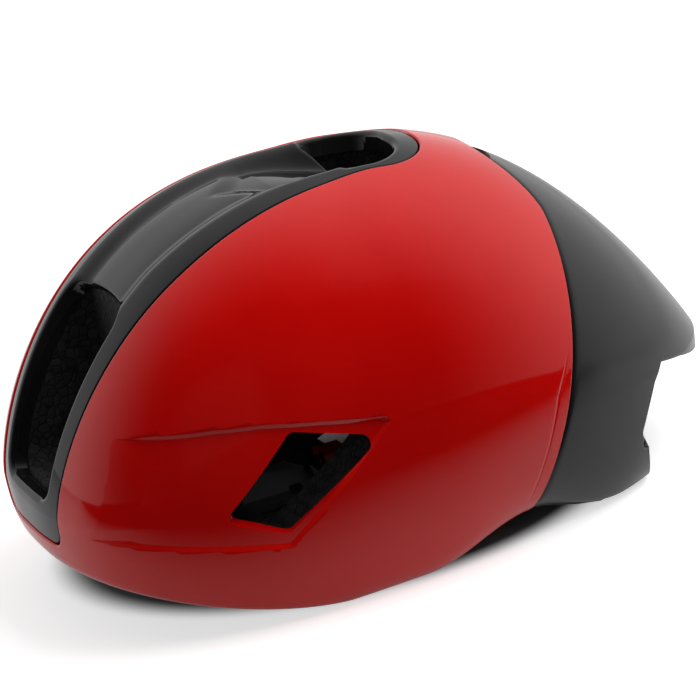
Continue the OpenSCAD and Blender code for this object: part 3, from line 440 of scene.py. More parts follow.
def grid(bearings, falls):
    """A net of parameters with two triangles to each cell."""
    q = np.stack(np.meshgrid(bearings, falls, indexing="ij"), axis=-1).reshape(-1, 2)
    n, m = len(bearings), len(falls)
    a = (np.arange(n - 1)[:, None] * m + np.arange(m - 1)).ravel()
    halves = [np.stack([a, a + 1, a + m + 1], 1), np.stack([a, a + m + 1, a + m], 1)]
    return q, np.concatenate(halves)


def cut(q, faces, gap):
    """Splits every triangle that a gap crosses, along the line where the gap is 0. A triangle with
    a corner on that line becomes two, and any other three."""
    value = gap(q)
    value = np.where(np.abs(value) < 1e-4, 0, value)
    sign = np.sign(value)[faces]
    mixed = (sign.min(1) < 0) & (sign.max(1) > 0)
    touch = mixed & (sign == 0).any(1)
    new_q, new_faces, count = [q], [faces[~mixed]], len(q)

    def crossing(a, b):
        """Halves each edge 24 times towards the place where the gap changes its sign."""
        low, high = a.copy(), b.copy()
        va = gap(a)
        for _ in range(24):
            middle = (low + high) / 2
            same = np.sign(gap(middle)) == np.sign(va)
            low[same], high[~same] = middle[same], middle[~same]
        return (low + high) / 2

    edges, jobs = [], []
    for rows, through in ((mixed & ~touch, False), (touch, True)):
        f = faces[rows]
        s = sign[rows]
        if not len(f):
            continue
        if through:
            first = (s == 0).argmax(1)
        else:
            first = np.where((s > 0).sum(1) == 1, (s > 0).argmax(1), (s < 0).argmax(1))
        i = np.arange(len(f))
        a, b, c = f[i, first], f[i, (first + 1) % 3], f[i, (first + 2) % 3]
        jobs.append((through, a, b, c))
        edges += [np.stack([b, c], 1)] if through else [np.stack([a, b], 1), np.stack([a, c], 1)]
    if not edges:
        return q, faces
    edges = np.sort(np.concatenate(edges), axis=1)
    unique, index = np.unique(edges, axis=0, return_inverse=True)
    index = index.ravel() + count
    new_q.append(crossing(q[unique[:, 0]], q[unique[:, 1]]))
    at = 0
    for through, a, b, c in jobs:
        n = len(a)
        if through:
            x = index[at : at + n]
            at += n
            new_faces += [np.stack([a, b, x], 1), np.stack([a, x, c], 1)]
        else:
            x, y = index[at : at + n], index[at + n : at + 2 * n]
            at += 2 * n
            new_faces += [
                np.stack([a, x, y], 1),
                np.stack([x, b, c], 1),
                np.stack([x, c, y], 1),
            ]
    return np.concatenate(new_q), np.concatenate(new_faces)


def trim(net, gap, inside=True):
    """Cuts a net along a gap and keeps what lies inside it, or else what lies outside."""
    q, faces = cut(*net, gap)
    side = gap(q[faces].mean(1))
    return q, faces[side < 0 if inside else side > 0]


def cut_lines(net, gap, *levels):
    """Cuts a net along each line where a gap has one of the levels."""
    for level in levels:
        net = cut(*net, lambda s: gap(s) - level)
    return net


def on_form(form, gap):
    """A gap as a function of a form's parameters."""
    return lambda q: gap(form(q))


def along_form(form, gap):
    """The distance along a form to where a gap is 0, as a function of the form's parameters."""
    return lambda q: true_gap(form, gap, q)


def shell_mesh(form, skin_depth, wall, q, faces):
    """A wall under a trimmed form: its outside sunk by a depth, its inside a wall deeper, and a
    strip along every open edge. Both halves of the helmet, the right one mirrored."""
    used, faces = np.unique(faces, return_inverse=True)
    q, faces = q[used], faces.reshape(-1, 3)
    normals = outward(form, q)
    base = form(q)

    def face_at(s):
        return form(s) - outward(form, s) * skin_depth(s)[..., None]

    outer_points = base - normals * skin_depth(q)[:, None]
    outer_normals = outward(face_at, q)
    thick = wall(q)[:, None] if callable(wall) else wall
    inner_points = base - normals * thick
    n = len(q)
    n = len(q)
    points = np.concatenate([outer_points, inner_points])
    shading = np.concatenate([outer_normals, -normals])
    edges = np.concatenate([faces[:, [0, 1]], faces[:, [1, 2]], faces[:, [2, 0]]])
    _, first, counts = np.unique(
        np.sort(edges, axis=1), axis=0, return_index=True, return_counts=True
    )
    rim = edges[first[counts == 1]]
    rim = rim[np.abs(base[rim, 0]).max(1) >= 1e-6]
    a, b = rim[:, 0], rim[:, 1]
    sides = np.concatenate([points[a], points[b], points[b + n], points[a + n]])
    across = np.cross(points[b] - points[a], points[a + n] - points[a])
    across /= np.maximum(np.linalg.norm(across, axis=1, keepdims=True), 1e-12)
    j = len(a)
    k = np.arange(j) + 2 * n
    strip = np.concatenate(
        [np.stack([k + j, k, k + 3 * j], 1), np.stack([k + j, k + 3 * j, k + 2 * j], 1)]
    )
    points = np.concatenate([points, sides])
    shading = np.concatenate([shading, np.tile(-across, (4, 1))])
    everything = np.concatenate([faces, faces[:, ::-1] + n, strip])
    flip = np.array([-1, 1, 1])
    total = len(points)
    points = np.concatenate([points, points * flip])
    shading = np.concatenate([shading, shading * flip])
    return points, np.concatenate([everything, everything[:, ::-1] + total]), shading


def weld(keys, faces):
    """Which rows to keep where rounded keys repeat, and the faces on them that have an area."""
    _, first, back_to = np.unique(
        np.round(keys).astype(np.int64), axis=0, return_index=True, return_inverse=True
    )
    faces = back_to.ravel()[faces]
    a, b, c = faces.T
    return first, faces[(a != b) & (b != c) & (c != a)]


def tidy_mesh(points, faces, shading):
    """Welds points that share a place and a normal, and drops faces with no area."""
    first, faces = weld(np.concatenate([points * 1e4, shading * 1e3], axis=1), faces)
    return points[first], faces, shading[first]


def red_depth(q):
    """Sunken panel, rolled edges at the slot, the vent and the split, and the seam's groove, which
    fades out above and towards the rim."""
    p = outside(q)
    deep = recess_depth(p)
    for side, gap, radius in ((-1, slot_gap, 0.9), (-1, hole_gap, 0.6), (1, split_gap, 0.7)):
        deep = deep + rolled(side * true_gap(outside, gap, q), radius)
    seam = true_gap(outside, seam_gap, q) / SEAM_HALF
    low = np.clip((78 - p[..., 2]) / 10, 0, 1) * np.clip((p[..., 2] - 20) / 6, 0, 1)
    return deep + SEAM_DEEP * low * np.exp(-(seam**2))


falls = np.concatenate([np.linspace(0.06, 1, 70), np.linspace(1, 2, 37)[1:]])
net = grid(np.linspace(-QUARTER, QUARTER, 181), falls)
net = trim(net, on_form(outside, slot_gap), inside=False)
net = trim(net, on_form(outside, split_gap))
net = trim(net, on_form(outside, hole_gap), inside=False)
# Finer lines where the edges roll, where the panel's walls and facet run, and along the seam.
for inset in (0.15, 0.35, 0.65, 0.9):
    net = cut_lines(net, along_form(outside, slot_gap), inset)
    net = cut_lines(net, along_form(outside, split_gap), -0.8 * inset)
net = cut_lines(net, on_form(outside, hole_gap), 0.1, 0.3, 0.6)
recess_lines = (0, -0.4, -0.9, -1.6, -2.4, -3.2, -4.0, -4.8, -5.6, -6.6)
net = cut_lines(net, on_form(outside, recess_gap), *recess_lines)
net = cut_lines(net, on_form(outside, hole_gap), 1.5, 3.0, 4.4, 5.0, 5.5, 6.2, 8.0)
net = cut_lines(net, along_form(outside, seam_gap), -0.9, -0.45, 0, 0.45, 0.9)


def noise(spot, size, detail=2.0):
    """Soft noise whose lumps are about a size in millimetres."""
    return spot.node("TexNoise", {"Vector": spot, "Scale": 1.0 / size, "Detail": detail})


def mottle(spot, size, dark, light):
    """Two close tones in soft patches of about a size in millimetres."""
    return noise(spot, size, 3).band(0.3, 0.7).blend(dark, light)


def bump(height, depth, normal=None):
    """A Bump node for a height that runs from 0 to 1 over a depth in millimetres."""
    inputs = {"Height": height, "Distance": depth / 1000.0}
    if normal:
        inputs["Normal"] = normal
    return height.node("Bump", inputs)


def surface(start, inputs):
    """Ends a material in one Principled shader."""
    start.node("OutputMaterial", {"Surface": start.node("BsdfPrincipled", inputs)})


red_material, start, spot = new_material("red_gloss")
surface(start, {
    "Base Color": mottle(spot, 60, (0.66, 0.002, 0.001), (0.72, 0.004, 0.002)),
    "Roughness": noise(spot, 0.9) * 0.06 + 0.36,
    "Coat Weight": 1.0,
    "Coat Roughness": 0.07,
    "Coat IOR": 1.5,
    "Specular IOR Level": 0.0,
    "Normal": bump(noise(spot, 2.6), 0.012),
})
points, faces, shading = tidy_mesh(*shell_mesh(outside, red_depth, SHELL_WALL, *net))
front_shell = link_mesh("front_shell_skin", points, faces, red_material, shading)
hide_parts("front_shell")
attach(front_shell, "helmet")

# Rear shell: satin black polycarbonate behind the split, a step lower than the red shell. It ends
# in an overhanging tail with a plate under it, and in a low wall round the nape.
REAR_STEP, LAP = 1.6, 3
SHADOW_DEEP, SHADOW_HALF = 1.5, 1.8
# The rear end from the side, from the tail's tip down to the nape: y and z of the corners.
TAIL_EDGE = [
    (168, 33), (150, 39.4), (131, 47.6), (118, 51.5), (111.5, 45.5), (106, 36.5), (101.5, 28),
    (101.5, 22), (104, 13), (107.5, 6), (108, -4),
]
NAPE_RADIUS, NAPE_BACK, NAPE_HEIGHT = 210, 117, 20
PLATE_Y, PORT_HALF, PORT_END_Y = 115, 46, 122


def black_outside(q):
    """The helmet's outside, a step lower."""
    return outside(q, REAR_STEP)


def black_gap(p):
    """Level distance outside the black shell at a point's own height: the dome's superellipse
    solved for its radius above the widest line, and the quarter ellipse below it."""
    bearing = np.arctan2(p[..., 1] - CROWN_Y, p[..., 0])
    waist, wide = mix3(WAIST, bearing), reach(bearing) - REAR_STEP
    rise = np.clip((p[..., 2] - waist) / (CROWN_Z - REAR_STEP - waist), 0, 1)
    rho = (1 - rise ** mix3(DOME_UP, bearing)) ** (1 / mix3(DOME_ACROSS, bearing))
    rim = rim_height(CROWN_Y + reach(bearing) * np.sin(bearing)) + RIM_LIP
    turn = np.clip((waist - p[..., 2]) / (waist - rim), 0, 1)
    tuck = mix3(TUCK, bearing) * (1 - np.sqrt(1 - turn**2))
    radius = np.where(p[..., 2] > waist, wide * rho, wide - tuck)
    return np.hypot(p[..., 0], p[..., 1] - CROWN_Y) - radius


def tail_gap(p):
    """Distance from the open space under the tail, negative in it. The nape's block, which an arc
    rounds, fills its foot."""
    space = outline_gap(TAIL_EDGE + [(190, -8), (190, 33)], p[..., 1], p[..., 2])
    arc = np.hypot(p[..., 0], p[..., 1] - NAPE_BACK + NAPE_RADIUS) - NAPE_RADIUS
    return np.maximum(space, -np.maximum(p[..., 2] - NAPE_HEIGHT, arc))


def black_depth(q):
    """A rolled edge round the tail's opening, and a shadow groove behind the red shell's edge."""
    split = true_gap(black_outside, split_gap, q) / SHADOW_HALF
    return rolled(-true_gap(black_outside, tail_gap, q), 0.9) + SHADOW_DEEP * np.exp(-(split**2))


falls = np.concatenate([np.linspace(0.3, 1, 60), np.linspace(1, 2, 41)[1:]])
net = grid(np.linspace(0.22, QUARTER, 120), falls)
net = trim(net, lambda s: split_gap(black_outside(s)) + LAP, inside=False)
net = trim(net, on_form(black_outside, tail_gap), inside=False)
net = cut_lines(net, along_form(black_outside, tail_gap), 0.1, 0.3, 0.6, 0.9)
net = cut_lines(net, along_form(black_outside, split_gap), -1.0, 0, 0.8, 1.6, 2.4, 3.4)
parts = [shell_mesh(black_outside, black_depth, SHELL_WALL, *net)]


def nape_wall(q):
    """An upright wall on the nape's arc: a bearing about the arc's middle, and a fall from its
    top."""
    b, fall = q[..., 0], q[..., 1]
    y = NAPE_BACK - NAPE_RADIUS + NAPE_RADIUS * np.sin(b)
    return np.stack([NAPE_RADIUS * np.cos(b), y, NAPE_HEIGHT - fall], axis=-1)


net = grid(np.linspace(np.radians(68), QUARTER, 60), np.linspace(0, NAPE_HEIGHT - RIM_LIP, 12))
net = trim(net, on_form(nape_wall, black_gap))
net = cut_lines(net, lambda s: s[..., 1], 0.15, 0.4, 0.8)
parts.append(shell_mesh(nape_wall, lambda s: rolled(-s[..., 1], 0.8), SHELL_WALL, *net))


def tail_plate(q):
    """The plate under the tail: across, and along the tail's edge seen from the side."""
    edge = np.array(TAIL_EDGE[3::-1])
    z = np.interp(q[..., 1], edge[:, 0], edge[:, 1])
    return np.stack([q[..., 0], q[..., 1], z], axis=-1)


def plate_gap(p):
    """Distance outside the plate, which is open over the exhaust port."""
    port = np.maximum(p[..., 0] - PORT_HALF, p[..., 1] - PORT_END_Y)
    return np.maximum(np.maximum(black_gap(p), PLATE_Y - p[..., 1]), -port)


net = grid(np.linspace(0, 78, 60), np.linspace(PLATE_Y, 160, 50))
net = trim(net, lambda s: plate_gap(tail_plate(s)) + 0.4)
parts.append(shell_mesh(tail_plate, lambda s: np.zeros(len(s)), SHELL_WALL, *net))


def joined(parts):
    """Several lots of points, faces and normals as one."""
    starts = np.cumsum([0] + [len(points) for points, _, _ in parts[:-1]])
    return (
        np.concatenate([points for points, _, _ in parts]),
        np.concatenate([faces + start for (_, faces, _), start in zip(parts, starts)]),
        np.concatenate([shading for _, _, shading in parts]),
    )


black_material, start, spot = new_material("black_satin")
surface(start, {
    "Base Color": mottle(spot, 45, (0.010, 0.010, 0.011), (0.014, 0.014, 0.015)),
    "Roughness": noise(spot, 0.8) * 0.08 + 0.34,
    "Specular IOR Level": 0.1,
    "Coat Weight": 0.5,
    "Coat Roughness": 0.16,
    "Normal": bump(noise(spot, 2.2), 0.012),
})
points, faces, shading = tidy_mesh(*joined(parts))
rear_shell = link_mesh("rear_shell_skin", points, faces, black_material, shading)
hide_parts("rear_shell")
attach(rear_shell, "helmet")

# Centre insert: one gloss black moulding in the slot. A rounded frame carries a sunken bridge
# panel, with the front vent below it and, behind it, a tongue that dips into the top vent.
GROOVE, INSERT_SINK = 0.6, 0.7
FRAME_WIDTH, FRAME_FLARE, FRAME_DEPTH, FRAME_ROLL = 5.2, 7.4, 8.0, 2.6
VENT_LOW, VENT_END = 54, 5.8
PANEL_WALL, BRIDGE_SINK, BRIDGE_HOLLOW, PANEL_UNDER = 3.6, 4.5, 12, 9
LIP_Y, LIP_BOW, LIP_HALF = -94, 2.0, 28
STEP_Y, STEP_SINK, STEP_FROM, STEP_RUN = -16, 2.4, -44, 13
TONGUE_Y, TONGUE_HALF, TONGUE_DIP = 24, 29, 9


def insert_outside(q):
    """The insert's outside on a flat chart: across the helmet, and forwards from the crown."""
    bearing, fall = np.arctan2(-q[..., 1], q[..., 0]), np.hypot(q[..., 0], q[..., 1])
    return outside(np.stack([bearing, fall], axis=-1), INSERT_SINK)


def insert_gap(p):
    """Distance outside the insert, which leaves a groove to the red shell."""
    return slot_gap(p, GROOVE, SLOT_LOW + GROOVE)


def vent_gap(p):
    """Distance outside the frame's inner outline, negative over the vents and the panel."""
    return slot_gap(p, FRAME_WIDTH, VENT_LOW, VENT_END, FRAME_FLARE)


def panel_gap(p):
    """Distance outside the bridge panel and its tongue. Ahead of the step the panel runs under the
    frame, and behind it the tongue narrows by a power to a round tip."""
    x, y = np.abs(p[..., 0]), p[..., 1]
    run = np.clip((y - STEP_Y) / (TONGUE_Y - STEP_Y), 0, 1)
    under = PANEL_UNDER * np.clip((STEP_Y + 6 - y) / 12, 0, 1)
    side = (x - TONGUE_HALF * np.sqrt(1.0001 - run**1.7)) * 0.8 - under
    lip = LIP_Y - LIP_BOW * (x / LIP_HALF) ** 2 - y
    return np.maximum(np.maximum(lip, side), y - TONGUE_Y)


def solid_gap(p):
    """Distance outside what the moulding fills: its frame, its panel and its tongue."""
    return soft_min(-vent_gap(p), panel_gap(p), 7.0)


def smooth(t):
    """A smooth step: three squares less two cubes of a value held between 0 and 1."""
    t = np.clip(t, 0, 1)
    return t * t * (3 - 2 * t)


def panel_depth(p):
    """The panel sinks in a hollow curve from the frame. It ends at a curved step, and behind that
    the tongue dips further."""
    x, y = np.abs(p[..., 0]), p[..., 1]
    across = smooth(-vent_gap(p) / BRIDGE_HOLLOW)
    step = STEP_SINK * smooth((y - STEP_FROM - 0.8 * x) / STEP_RUN)
    dip = TONGUE_DIP * np.clip((y - STEP_Y + 3) / (TONGUE_Y - STEP_Y), 0, 1.2) ** 1.2
    return across * (BRIDGE_SINK + step + dip)


def insert_depth(q):
    """The panel's hollow, a small rolled edge at the groove and a larger one at the vents, which
    is sharper round the tongue."""
    p = insert_outside(q)
    edge = true_gap(insert_outside, insert_gap, q)
    vent = true_gap(insert_outside, solid_gap, q)
    radius = FRAME_ROLL - smooth((p[..., 1] - STEP_Y) / 12) * smooth(-vent_gap(p) / 6)
    return panel_depth(p) + rolled(edge, 1.0) + rolled(vent, radius)


def insert_wall(q):
    """Depth of the moulding's inside: deep round the frame, and a thin wall under the panel."""
    p = insert_outside(q)
    share = smooth(-vent_gap(p) / 8)
    return FRAME_DEPTH * (1 - share) + (panel_depth(p) + PANEL_WALL) * share


net = grid(np.linspace(0, 0.56, 72), np.linspace(-0.42, 1.86, 320))
net = trim(net, on_form(insert_outside, insert_gap))
net = trim(net, on_form(insert_outside, solid_gap))
for gap, levels in (
    (insert_gap, (-0.15, -0.4, -0.7, -1.0)),
    (solid_gap, (-0.15, -0.4, -0.8, -1.3, -1.9, -2.6)),
):
    net = cut_lines(net, along_form(insert_outside, gap), *levels)

gloss_material, start, spot = new_material("black_gloss")
surface(start, {
    "Base Color": mottle(spot, 30, (0.006, 0.006, 0.007), (0.009, 0.009, 0.010)),
    "Roughness": noise(spot, 1.2) * 0.05 + 0.12,
    "Specular IOR Level": 0.0,
    "Coat Weight": 0.72,
    "Coat Roughness": 0.03,
    "Normal": bump(noise(spot, 5.0), 0.02),
})
points, faces, shading = tidy_mesh(*shell_mesh(insert_outside, insert_depth, insert_wall, *net))
insert = link_mesh("centre_insert_moulding", points, faces, gloss_material, shading)
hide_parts("centre_insert")
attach(insert, "helmet")

# Foam liner: expanded polystyrene, moulded black, with the beads showing on the cavity wall and in
# the ducts. It keeps the solid's edges where they are sharp and is smooth elsewhere.
def smooth_copy(name, node, material, angle):
    """A welded copy of a CAD node, smooth but for edges sharper than an angle in degrees."""
    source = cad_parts[node].data
    source.calc_loop_triangles()
    points = np.empty(len(source.vertices) * 3)
    source.vertices.foreach_get("co", points)
    points = points.reshape(-1, 3)
    faces = np.empty(len(source.loop_triangles) * 3, int)
    source.loop_triangles.foreach_get("vertices", faces)
    first, faces = weld(points * 1e6, faces.reshape(-1, 3))
    piece = link_mesh(name, points[first] * 1000.0, faces, material)
    piece.data.set_sharp_from_angle(angle=math.radians(angle))
    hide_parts(node)
    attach(piece, "helmet")
    return piece


foam_material, start, spot = new_material("foam_beads")
beads = {"Vector": spot, "Scale": 0.27, "Randomness": 0.9}
cells = start.node("TexVoronoi", beads, out="Distance")
edges = start.node("TexVoronoi", beads, feature="DISTANCE_TO_EDGE")
tint = start.node("SeparateColor", {0: start.node("TexVoronoi", beads, out="Color")})
# Painted shade, in part: the foam is darker in the creases between its beads, where the bump sinks
# it; each bead's own tint is real.
tone = tint * 0.5 + edges.band(0.0, 0.12) * 0.5
pores = bump(noise(spot, 0.8), 0.05)
surface(start, {
    "Base Color": tone.blend((0.006, 0.006, 0.006), (0.021, 0.021, 0.022)),
    "Roughness": cells * 0.25 + 0.62,
    "Specular IOR Level": 0.3,
    "Normal": bump(edges.band(0.0, 0.16), 0.35, pores),
})
liner = smooth_copy("foam_liner", "eps_liner", foam_material, 32)

# Lower rim: a thin black shell, finely grained, that wraps the foam's bottom edge from the outer
# shells to the cavity.
rim_material, start, spot = new_material("rim_grain")
grain = noise(spot, 0.7, 3)
surface(start, {
    "Base Color": mottle(spot, 18, (0.012, 0.012, 0.013), (0.02, 0.02, 0.021)),
    "Roughness": grain * 0.2 + 0.42,
    "Specular IOR Level": 0.4,
    "Normal": bump(grain, 0.03),
})
rim = smooth_copy("lower_rim_skin", "lower_rim", rim_material, 40)

# Brow, temple and crown pads: foam cut to strips, wrapped in knitted mesh, bound at the edge with a
# welded hem and crossed by two sewn channels. They lie on the cavity wall on hook dots.
HEAD_HALF, HEAD_Y, HEAD_TOP, HEAD_WAIST = (77, 102), -2, 128, 45
PLAN_POWER, CAP_POWER = 2.25, 2.3
PAD_BACK, PAD_THICK, HEM_THICK = 1.4, 6.0, 0.7
CHANNEL_AT, CHANNEL_DRAW = 0.36, 0.42
WALL_RADIUS = 88


def cavity(bearing, z):
    """The head cavity: a superellipse in plan, closed by a superelliptic dome above its waist."""
    across = np.abs(np.cos(bearing)) / HEAD_HALF[0]
    along = np.abs(np.sin(bearing)) / HEAD_HALF[1]
    plan = (across**PLAN_POWER + along**PLAN_POWER) ** (-1 / PLAN_POWER)
    rise = np.clip((z - HEAD_WAIST) / (HEAD_TOP - HEAD_WAIST), 0, 1)
    r = plan * (1 - rise**CAP_POWER) ** (1 / CAP_POWER)
    return np.stack([r * np.cos(bearing), HEAD_Y + r * np.sin(bearing), z], axis=-1)


def cavity_normal(bearing, z, step=0.01):
    """Unit normal of the cavity wall, into the cavity."""
    up_wall = cavity(bearing, z + step) - cavity(bearing, z)
    round_wall = cavity(bearing + step / 60, z) - cavity(bearing, z)
    n = np.cross(up_wall, round_wall)
    return n / np.linalg.norm(n, axis=-1, keepdims=True)


def crown(u, v):
    """Height of a pad over its back: full in the middle, falling to a thin hem round the edge,
    drawn down along two channels sewn across it, with a shallow pucker along each channel."""
    edge = (1 - np.abs(u) ** 8) * (1 - np.abs(v) ** 5)
    channel = np.exp(-((14 * (np.abs(u) - CHANNEL_AT)) ** 2))
    pucker = 0.05 * channel * np.cos(46 * v)
    drawn = 1 - CHANNEL_DRAW * channel - pucker
    return HEM_THICK + (PAD_THICK - HEM_THICK) * np.sqrt(np.clip(edge, 0, 1)) * drawn


def sheet_mesh(back, front, wrap_uv):
    """A closed mesh between two grids of points, with a uv in millimetres for each point."""
    n, m = back.shape[:2]
    i, j = np.meshgrid(np.arange(n - 1), np.arange(m - 1), indexing="ij")
    a = (i * m + j).ravel()
    quads = np.stack([a, a + m, a + m + 1, a + 1], 1)
    lid = quads[:, ::-1] + n * m
    first, last = np.arange(m), n * m - 2 - np.arange(m - 1)
    loop = np.concatenate([first, np.arange(2, n + 1) * m - 1, last, np.arange(n - 2, 0, -1) * m])
    after = np.roll(loop, -1)
    side = np.stack([after, loop, loop + n * m, after + n * m], 1)
    points = np.concatenate([back.reshape(-1, 3), front.reshape(-1, 3)])
    faces = np.concatenate([quads[:, ::-1], lid[:, ::-1], side])
    return points, faces, np.tile(wrap_uv.reshape(-1, 2), (2, 1))


def facing_out(points, faces):
    """The faces turned, if need be, so that the mesh encloses a positive volume."""
    p = points[faces]
    volume = np.einsum("ij,ij->i", p[:, 0], np.cross(p[:, 1], p[:, 2])).sum()
    volume += np.einsum("ij,ij->i", p[:, 0], np.cross(p[:, 2], p[:, 3])).sum()
    return faces if volume > 0 else faces[:, ::-1]


def soft_piece(name, points, faces, uv, material, slot, body="helmet", mirrored=False):
    """A smooth object with its own uv map, which replaces the CAD node of its name."""
    if mirrored:
        points = points * (-1, 1, 1)
    faces = facing_out(points, faces)
    piece = link_mesh(name + "_cloth", points, faces, material)
    layer = piece.data.uv_layers.new(name="weave")
    layer.data.foreach_set("uv", uv[faces.ravel()].astype(np.float32).ravel())
    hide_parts(name)
    if body:
        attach(piece, body)
    return piece


def pad_grid(n, m):
    """Parameters from -1 to 1 both ways, closer together towards the edges and the channels."""
    near = [s * (CHANNEL_AT + d) for s in (-1, 1) for d in np.linspace(-0.11, 0.11, 9)]
    u = np.sort(np.concatenate([np.sin(np.linspace(-1, 1, n) * QUARTER), near]))
    v = np.sin(np.linspace(-1, 1, m) * QUARTER)
    return np.meshgrid(u, v, indexing="ij")


def wall_pad(bearings, heights):
    """A pad on the cavity wall between two bearings in degrees and two heights."""
    u, v = pad_grid(61, 27)
    draw = 1 - 0.1 * (1 - u * u) - 0.12 * np.abs(u) ** 8
    half = (heights[1] - heights[0]) / 2
    z = np.mean(heights) + half * v * draw
    bearing = np.radians(bearings[0] + (bearings[1] - bearings[0]) * (u + 1) / 2)
    wall, inwards = cavity(bearing, z), cavity_normal(bearing, z)
    front = wall + (PAD_BACK + crown(u, v))[..., None] * inwards
    length = np.radians(abs(bearings[1] - bearings[0])) * WALL_RADIUS
    return sheet_mesh(wall + PAD_BACK * inwards, front, np.stack([u * length / 2, v * half], -1))


pad_material, start, spot = new_material("knit_cloth")
uv = start.node("UVMap", uv_map="weave")
holes = start.node("TexVoronoi", {"Vector": uv, "Scale": 0.62, "Randomness": 0.12}, feature="F1")
yarn = start.node("TexWave", {"Vector": uv, "Scale": 1.1, "Distortion": 1.2, "Detail": 1.0})
fuzz = noise(spot, 0.5, 3)
# Painted shade: the knit is darker in its holes, which the bump sinks, than on its yarn; the
# lighter worn patches are real.
hole_painted_shade = (1 - holes.band(0.18, 0.42)).blend((0.045, 0.046, 0.05), (0.008, 0.008, 0.009))
worn = noise(spot, 14, 3).band(0.45, 0.7)
knit = holes.band(0.15, 0.45) + yarn * 0.4
surface(start, {
    "Base Color": (worn * 0.35).blend(hole_painted_shade, (0.075, 0.076, 0.08)),
    "Roughness": fuzz * 0.12 + 0.82,
    "Specular IOR Level": 0.2,
    "Sheen Weight": 0.35,
    "Sheen Roughness": 0.5,
    "Normal": bump(knit, 0.25, bump(fuzz, 0.06)),
})
BROW_LOW = 31.5
for name, bearings, heights, mirrored in (
    ("brow_pad", (-132, -48), (BROW_LOW, BROW_LOW + 14.5), False),
    ("temple_pad_left", (-2, 30), (62, 84), False),
    ("temple_pad_right", (-2, 30), (62, 84), True),
    ("crown_pad_left", (-34, 34), (98, 117), False),
    ("crown_pad_right", (-34, 34), (98, 117), True),
):
    sheet = wall_pad(bearings, heights)
    pad = soft_piece(name, *sheet, pad_material, "pad_cloth", mirrored=mirrored)

# Nape pad and chin pad: the same cloth over thinner foam, one glued to the cradle's head side and
# one folded round the left chin webbing.
HOUSING_FRONT, PIVOT_Z = 80.0, 42
NAPE_HALF, CHIN_HALF = (18, 11), (17, 10)
u, v = pad_grid(41, 25)
none = 0 * u
back = np.stack([NAPE_HALF[0] * u, none + HOUSING_FRONT - 0.3, PIVOT_Z + NAPE_HALF[1] * v], -1)
front = back - np.stack([none, 0.9 * crown(u, v), none], -1)
sheet = sheet_mesh(back, front, np.stack([NAPE_HALF[0] * u, NAPE_HALF[1] * v], -1))
pad = soft_piece("nape_pad", *sheet, pad_material, "pad_cloth", "cradle")

CHIN_X, CHIN_Y, WEB_Z, WEB_THICK = 29, -21, 1.2, 1.2
across = CHIN_X + CHIN_HALF[1] * v * (1 - 0.08 * (1 - u * u))
back = np.stack([across, CHIN_Y - CHIN_HALF[0] * u, none + WEB_Z + WEB_THICK + 0.3], -1)
front = back + np.stack([none, none, 0.8 * crown(u, v)], -1)
sheet = sheet_mesh(back, front, np.stack([CHIN_HALF[0] * u, CHIN_HALF[1] * v], -1))
pad = soft_piece("chin_pad", *sheet, pad_material, "pad_cloth")

# Webbing: flat polyester tape, 15 mm wide, woven in a herringbone with a plain edge. The front and
# rear straps run from their anchors to the dividers.
WEB_HALF = 7.5
HERRING = 2.4
web_material, start, spot = new_material("woven_tape")
uv = start.node("UVMap", uv_map="weave")
tape_across = start.node("SeparateXYZ", {0: uv})
tape_along = start.node("SeparateXYZ", {0: uv}, out=1)
zigzag = start.sum("PINGPONG", tape_across + 30.0, HERRING)
rib = start.sum("SINE", (tape_along + zigzag) * 5.2) * 0.5 + 0.5
pick = start.sum("SINE", tape_across * 9.0) * 0.5 + 0.5
border = start.sum("ABSOLUTE", tape_across).band(WEB_HALF - 1.3, WEB_HALF - 1.0)
thread = rib * (1 - border * 0.6) + pick * 0.35
lint = noise(spot, 0.6, 3)
# Painted shade: the tape is darker in the hollows between its raised threads, by the pattern that
# also bumps it; the lint adds real specks.
weave_painted_shade_and_lint = thread * 0.6 + lint * 0.3
surface(start, {
    "Base Color": weave_painted_shade_and_lint.blend((0.006, 0.006, 0.007), (0.035, 0.035, 0.038)),
    "Roughness": lint * 0.15 + 0.62,
    "Specular IOR Level": 0.35,
    "Sheen Weight": 0.15,
    "Normal": bump(thread, 0.16),
})


def unit(a):
    """Vectors divided by their lengths."""
    return a / np.linalg.norm(a, axis=-1, keepdims=True)


def ribbon(centre, thick, across):
    """A tape round a grid of points, with rounded edges: its thickness tapers off at each edge."""
    n = unit(np.cross(np.gradient(centre, axis=0), np.gradient(centre, axis=1)))
    taper = np.clip(1 - (np.abs(across) / (WEB_HALF + 0.02)) ** 14, 0, 1)
    half = thick / 2 * np.sqrt(taper)[..., None]
    steps = np.linalg.norm(np.diff(centre[:, centre.shape[1] // 2], axis=0), axis=1)
    run = np.concatenate([[0], np.cumsum(steps)])
    uv = np.stack([across, np.broadcast_to(run[:, None], across.shape)], -1)
    return sheet_mesh(centre - n * half, centre + n * half, uv)


edges = np.array([WEB_HALF, 7.42, 7.2])
WIDTHS = np.concatenate([-edges, np.linspace(-6.8, 6.8, 9), edges[::-1]])
DIVIDER_X, DIVIDER_Y, DIVIDER_HALF = 47, 10, 10
LAYER_B = WEB_Z + WEB_THICK
LAYER_C = LAYER_B + WEB_THICK + 0.2


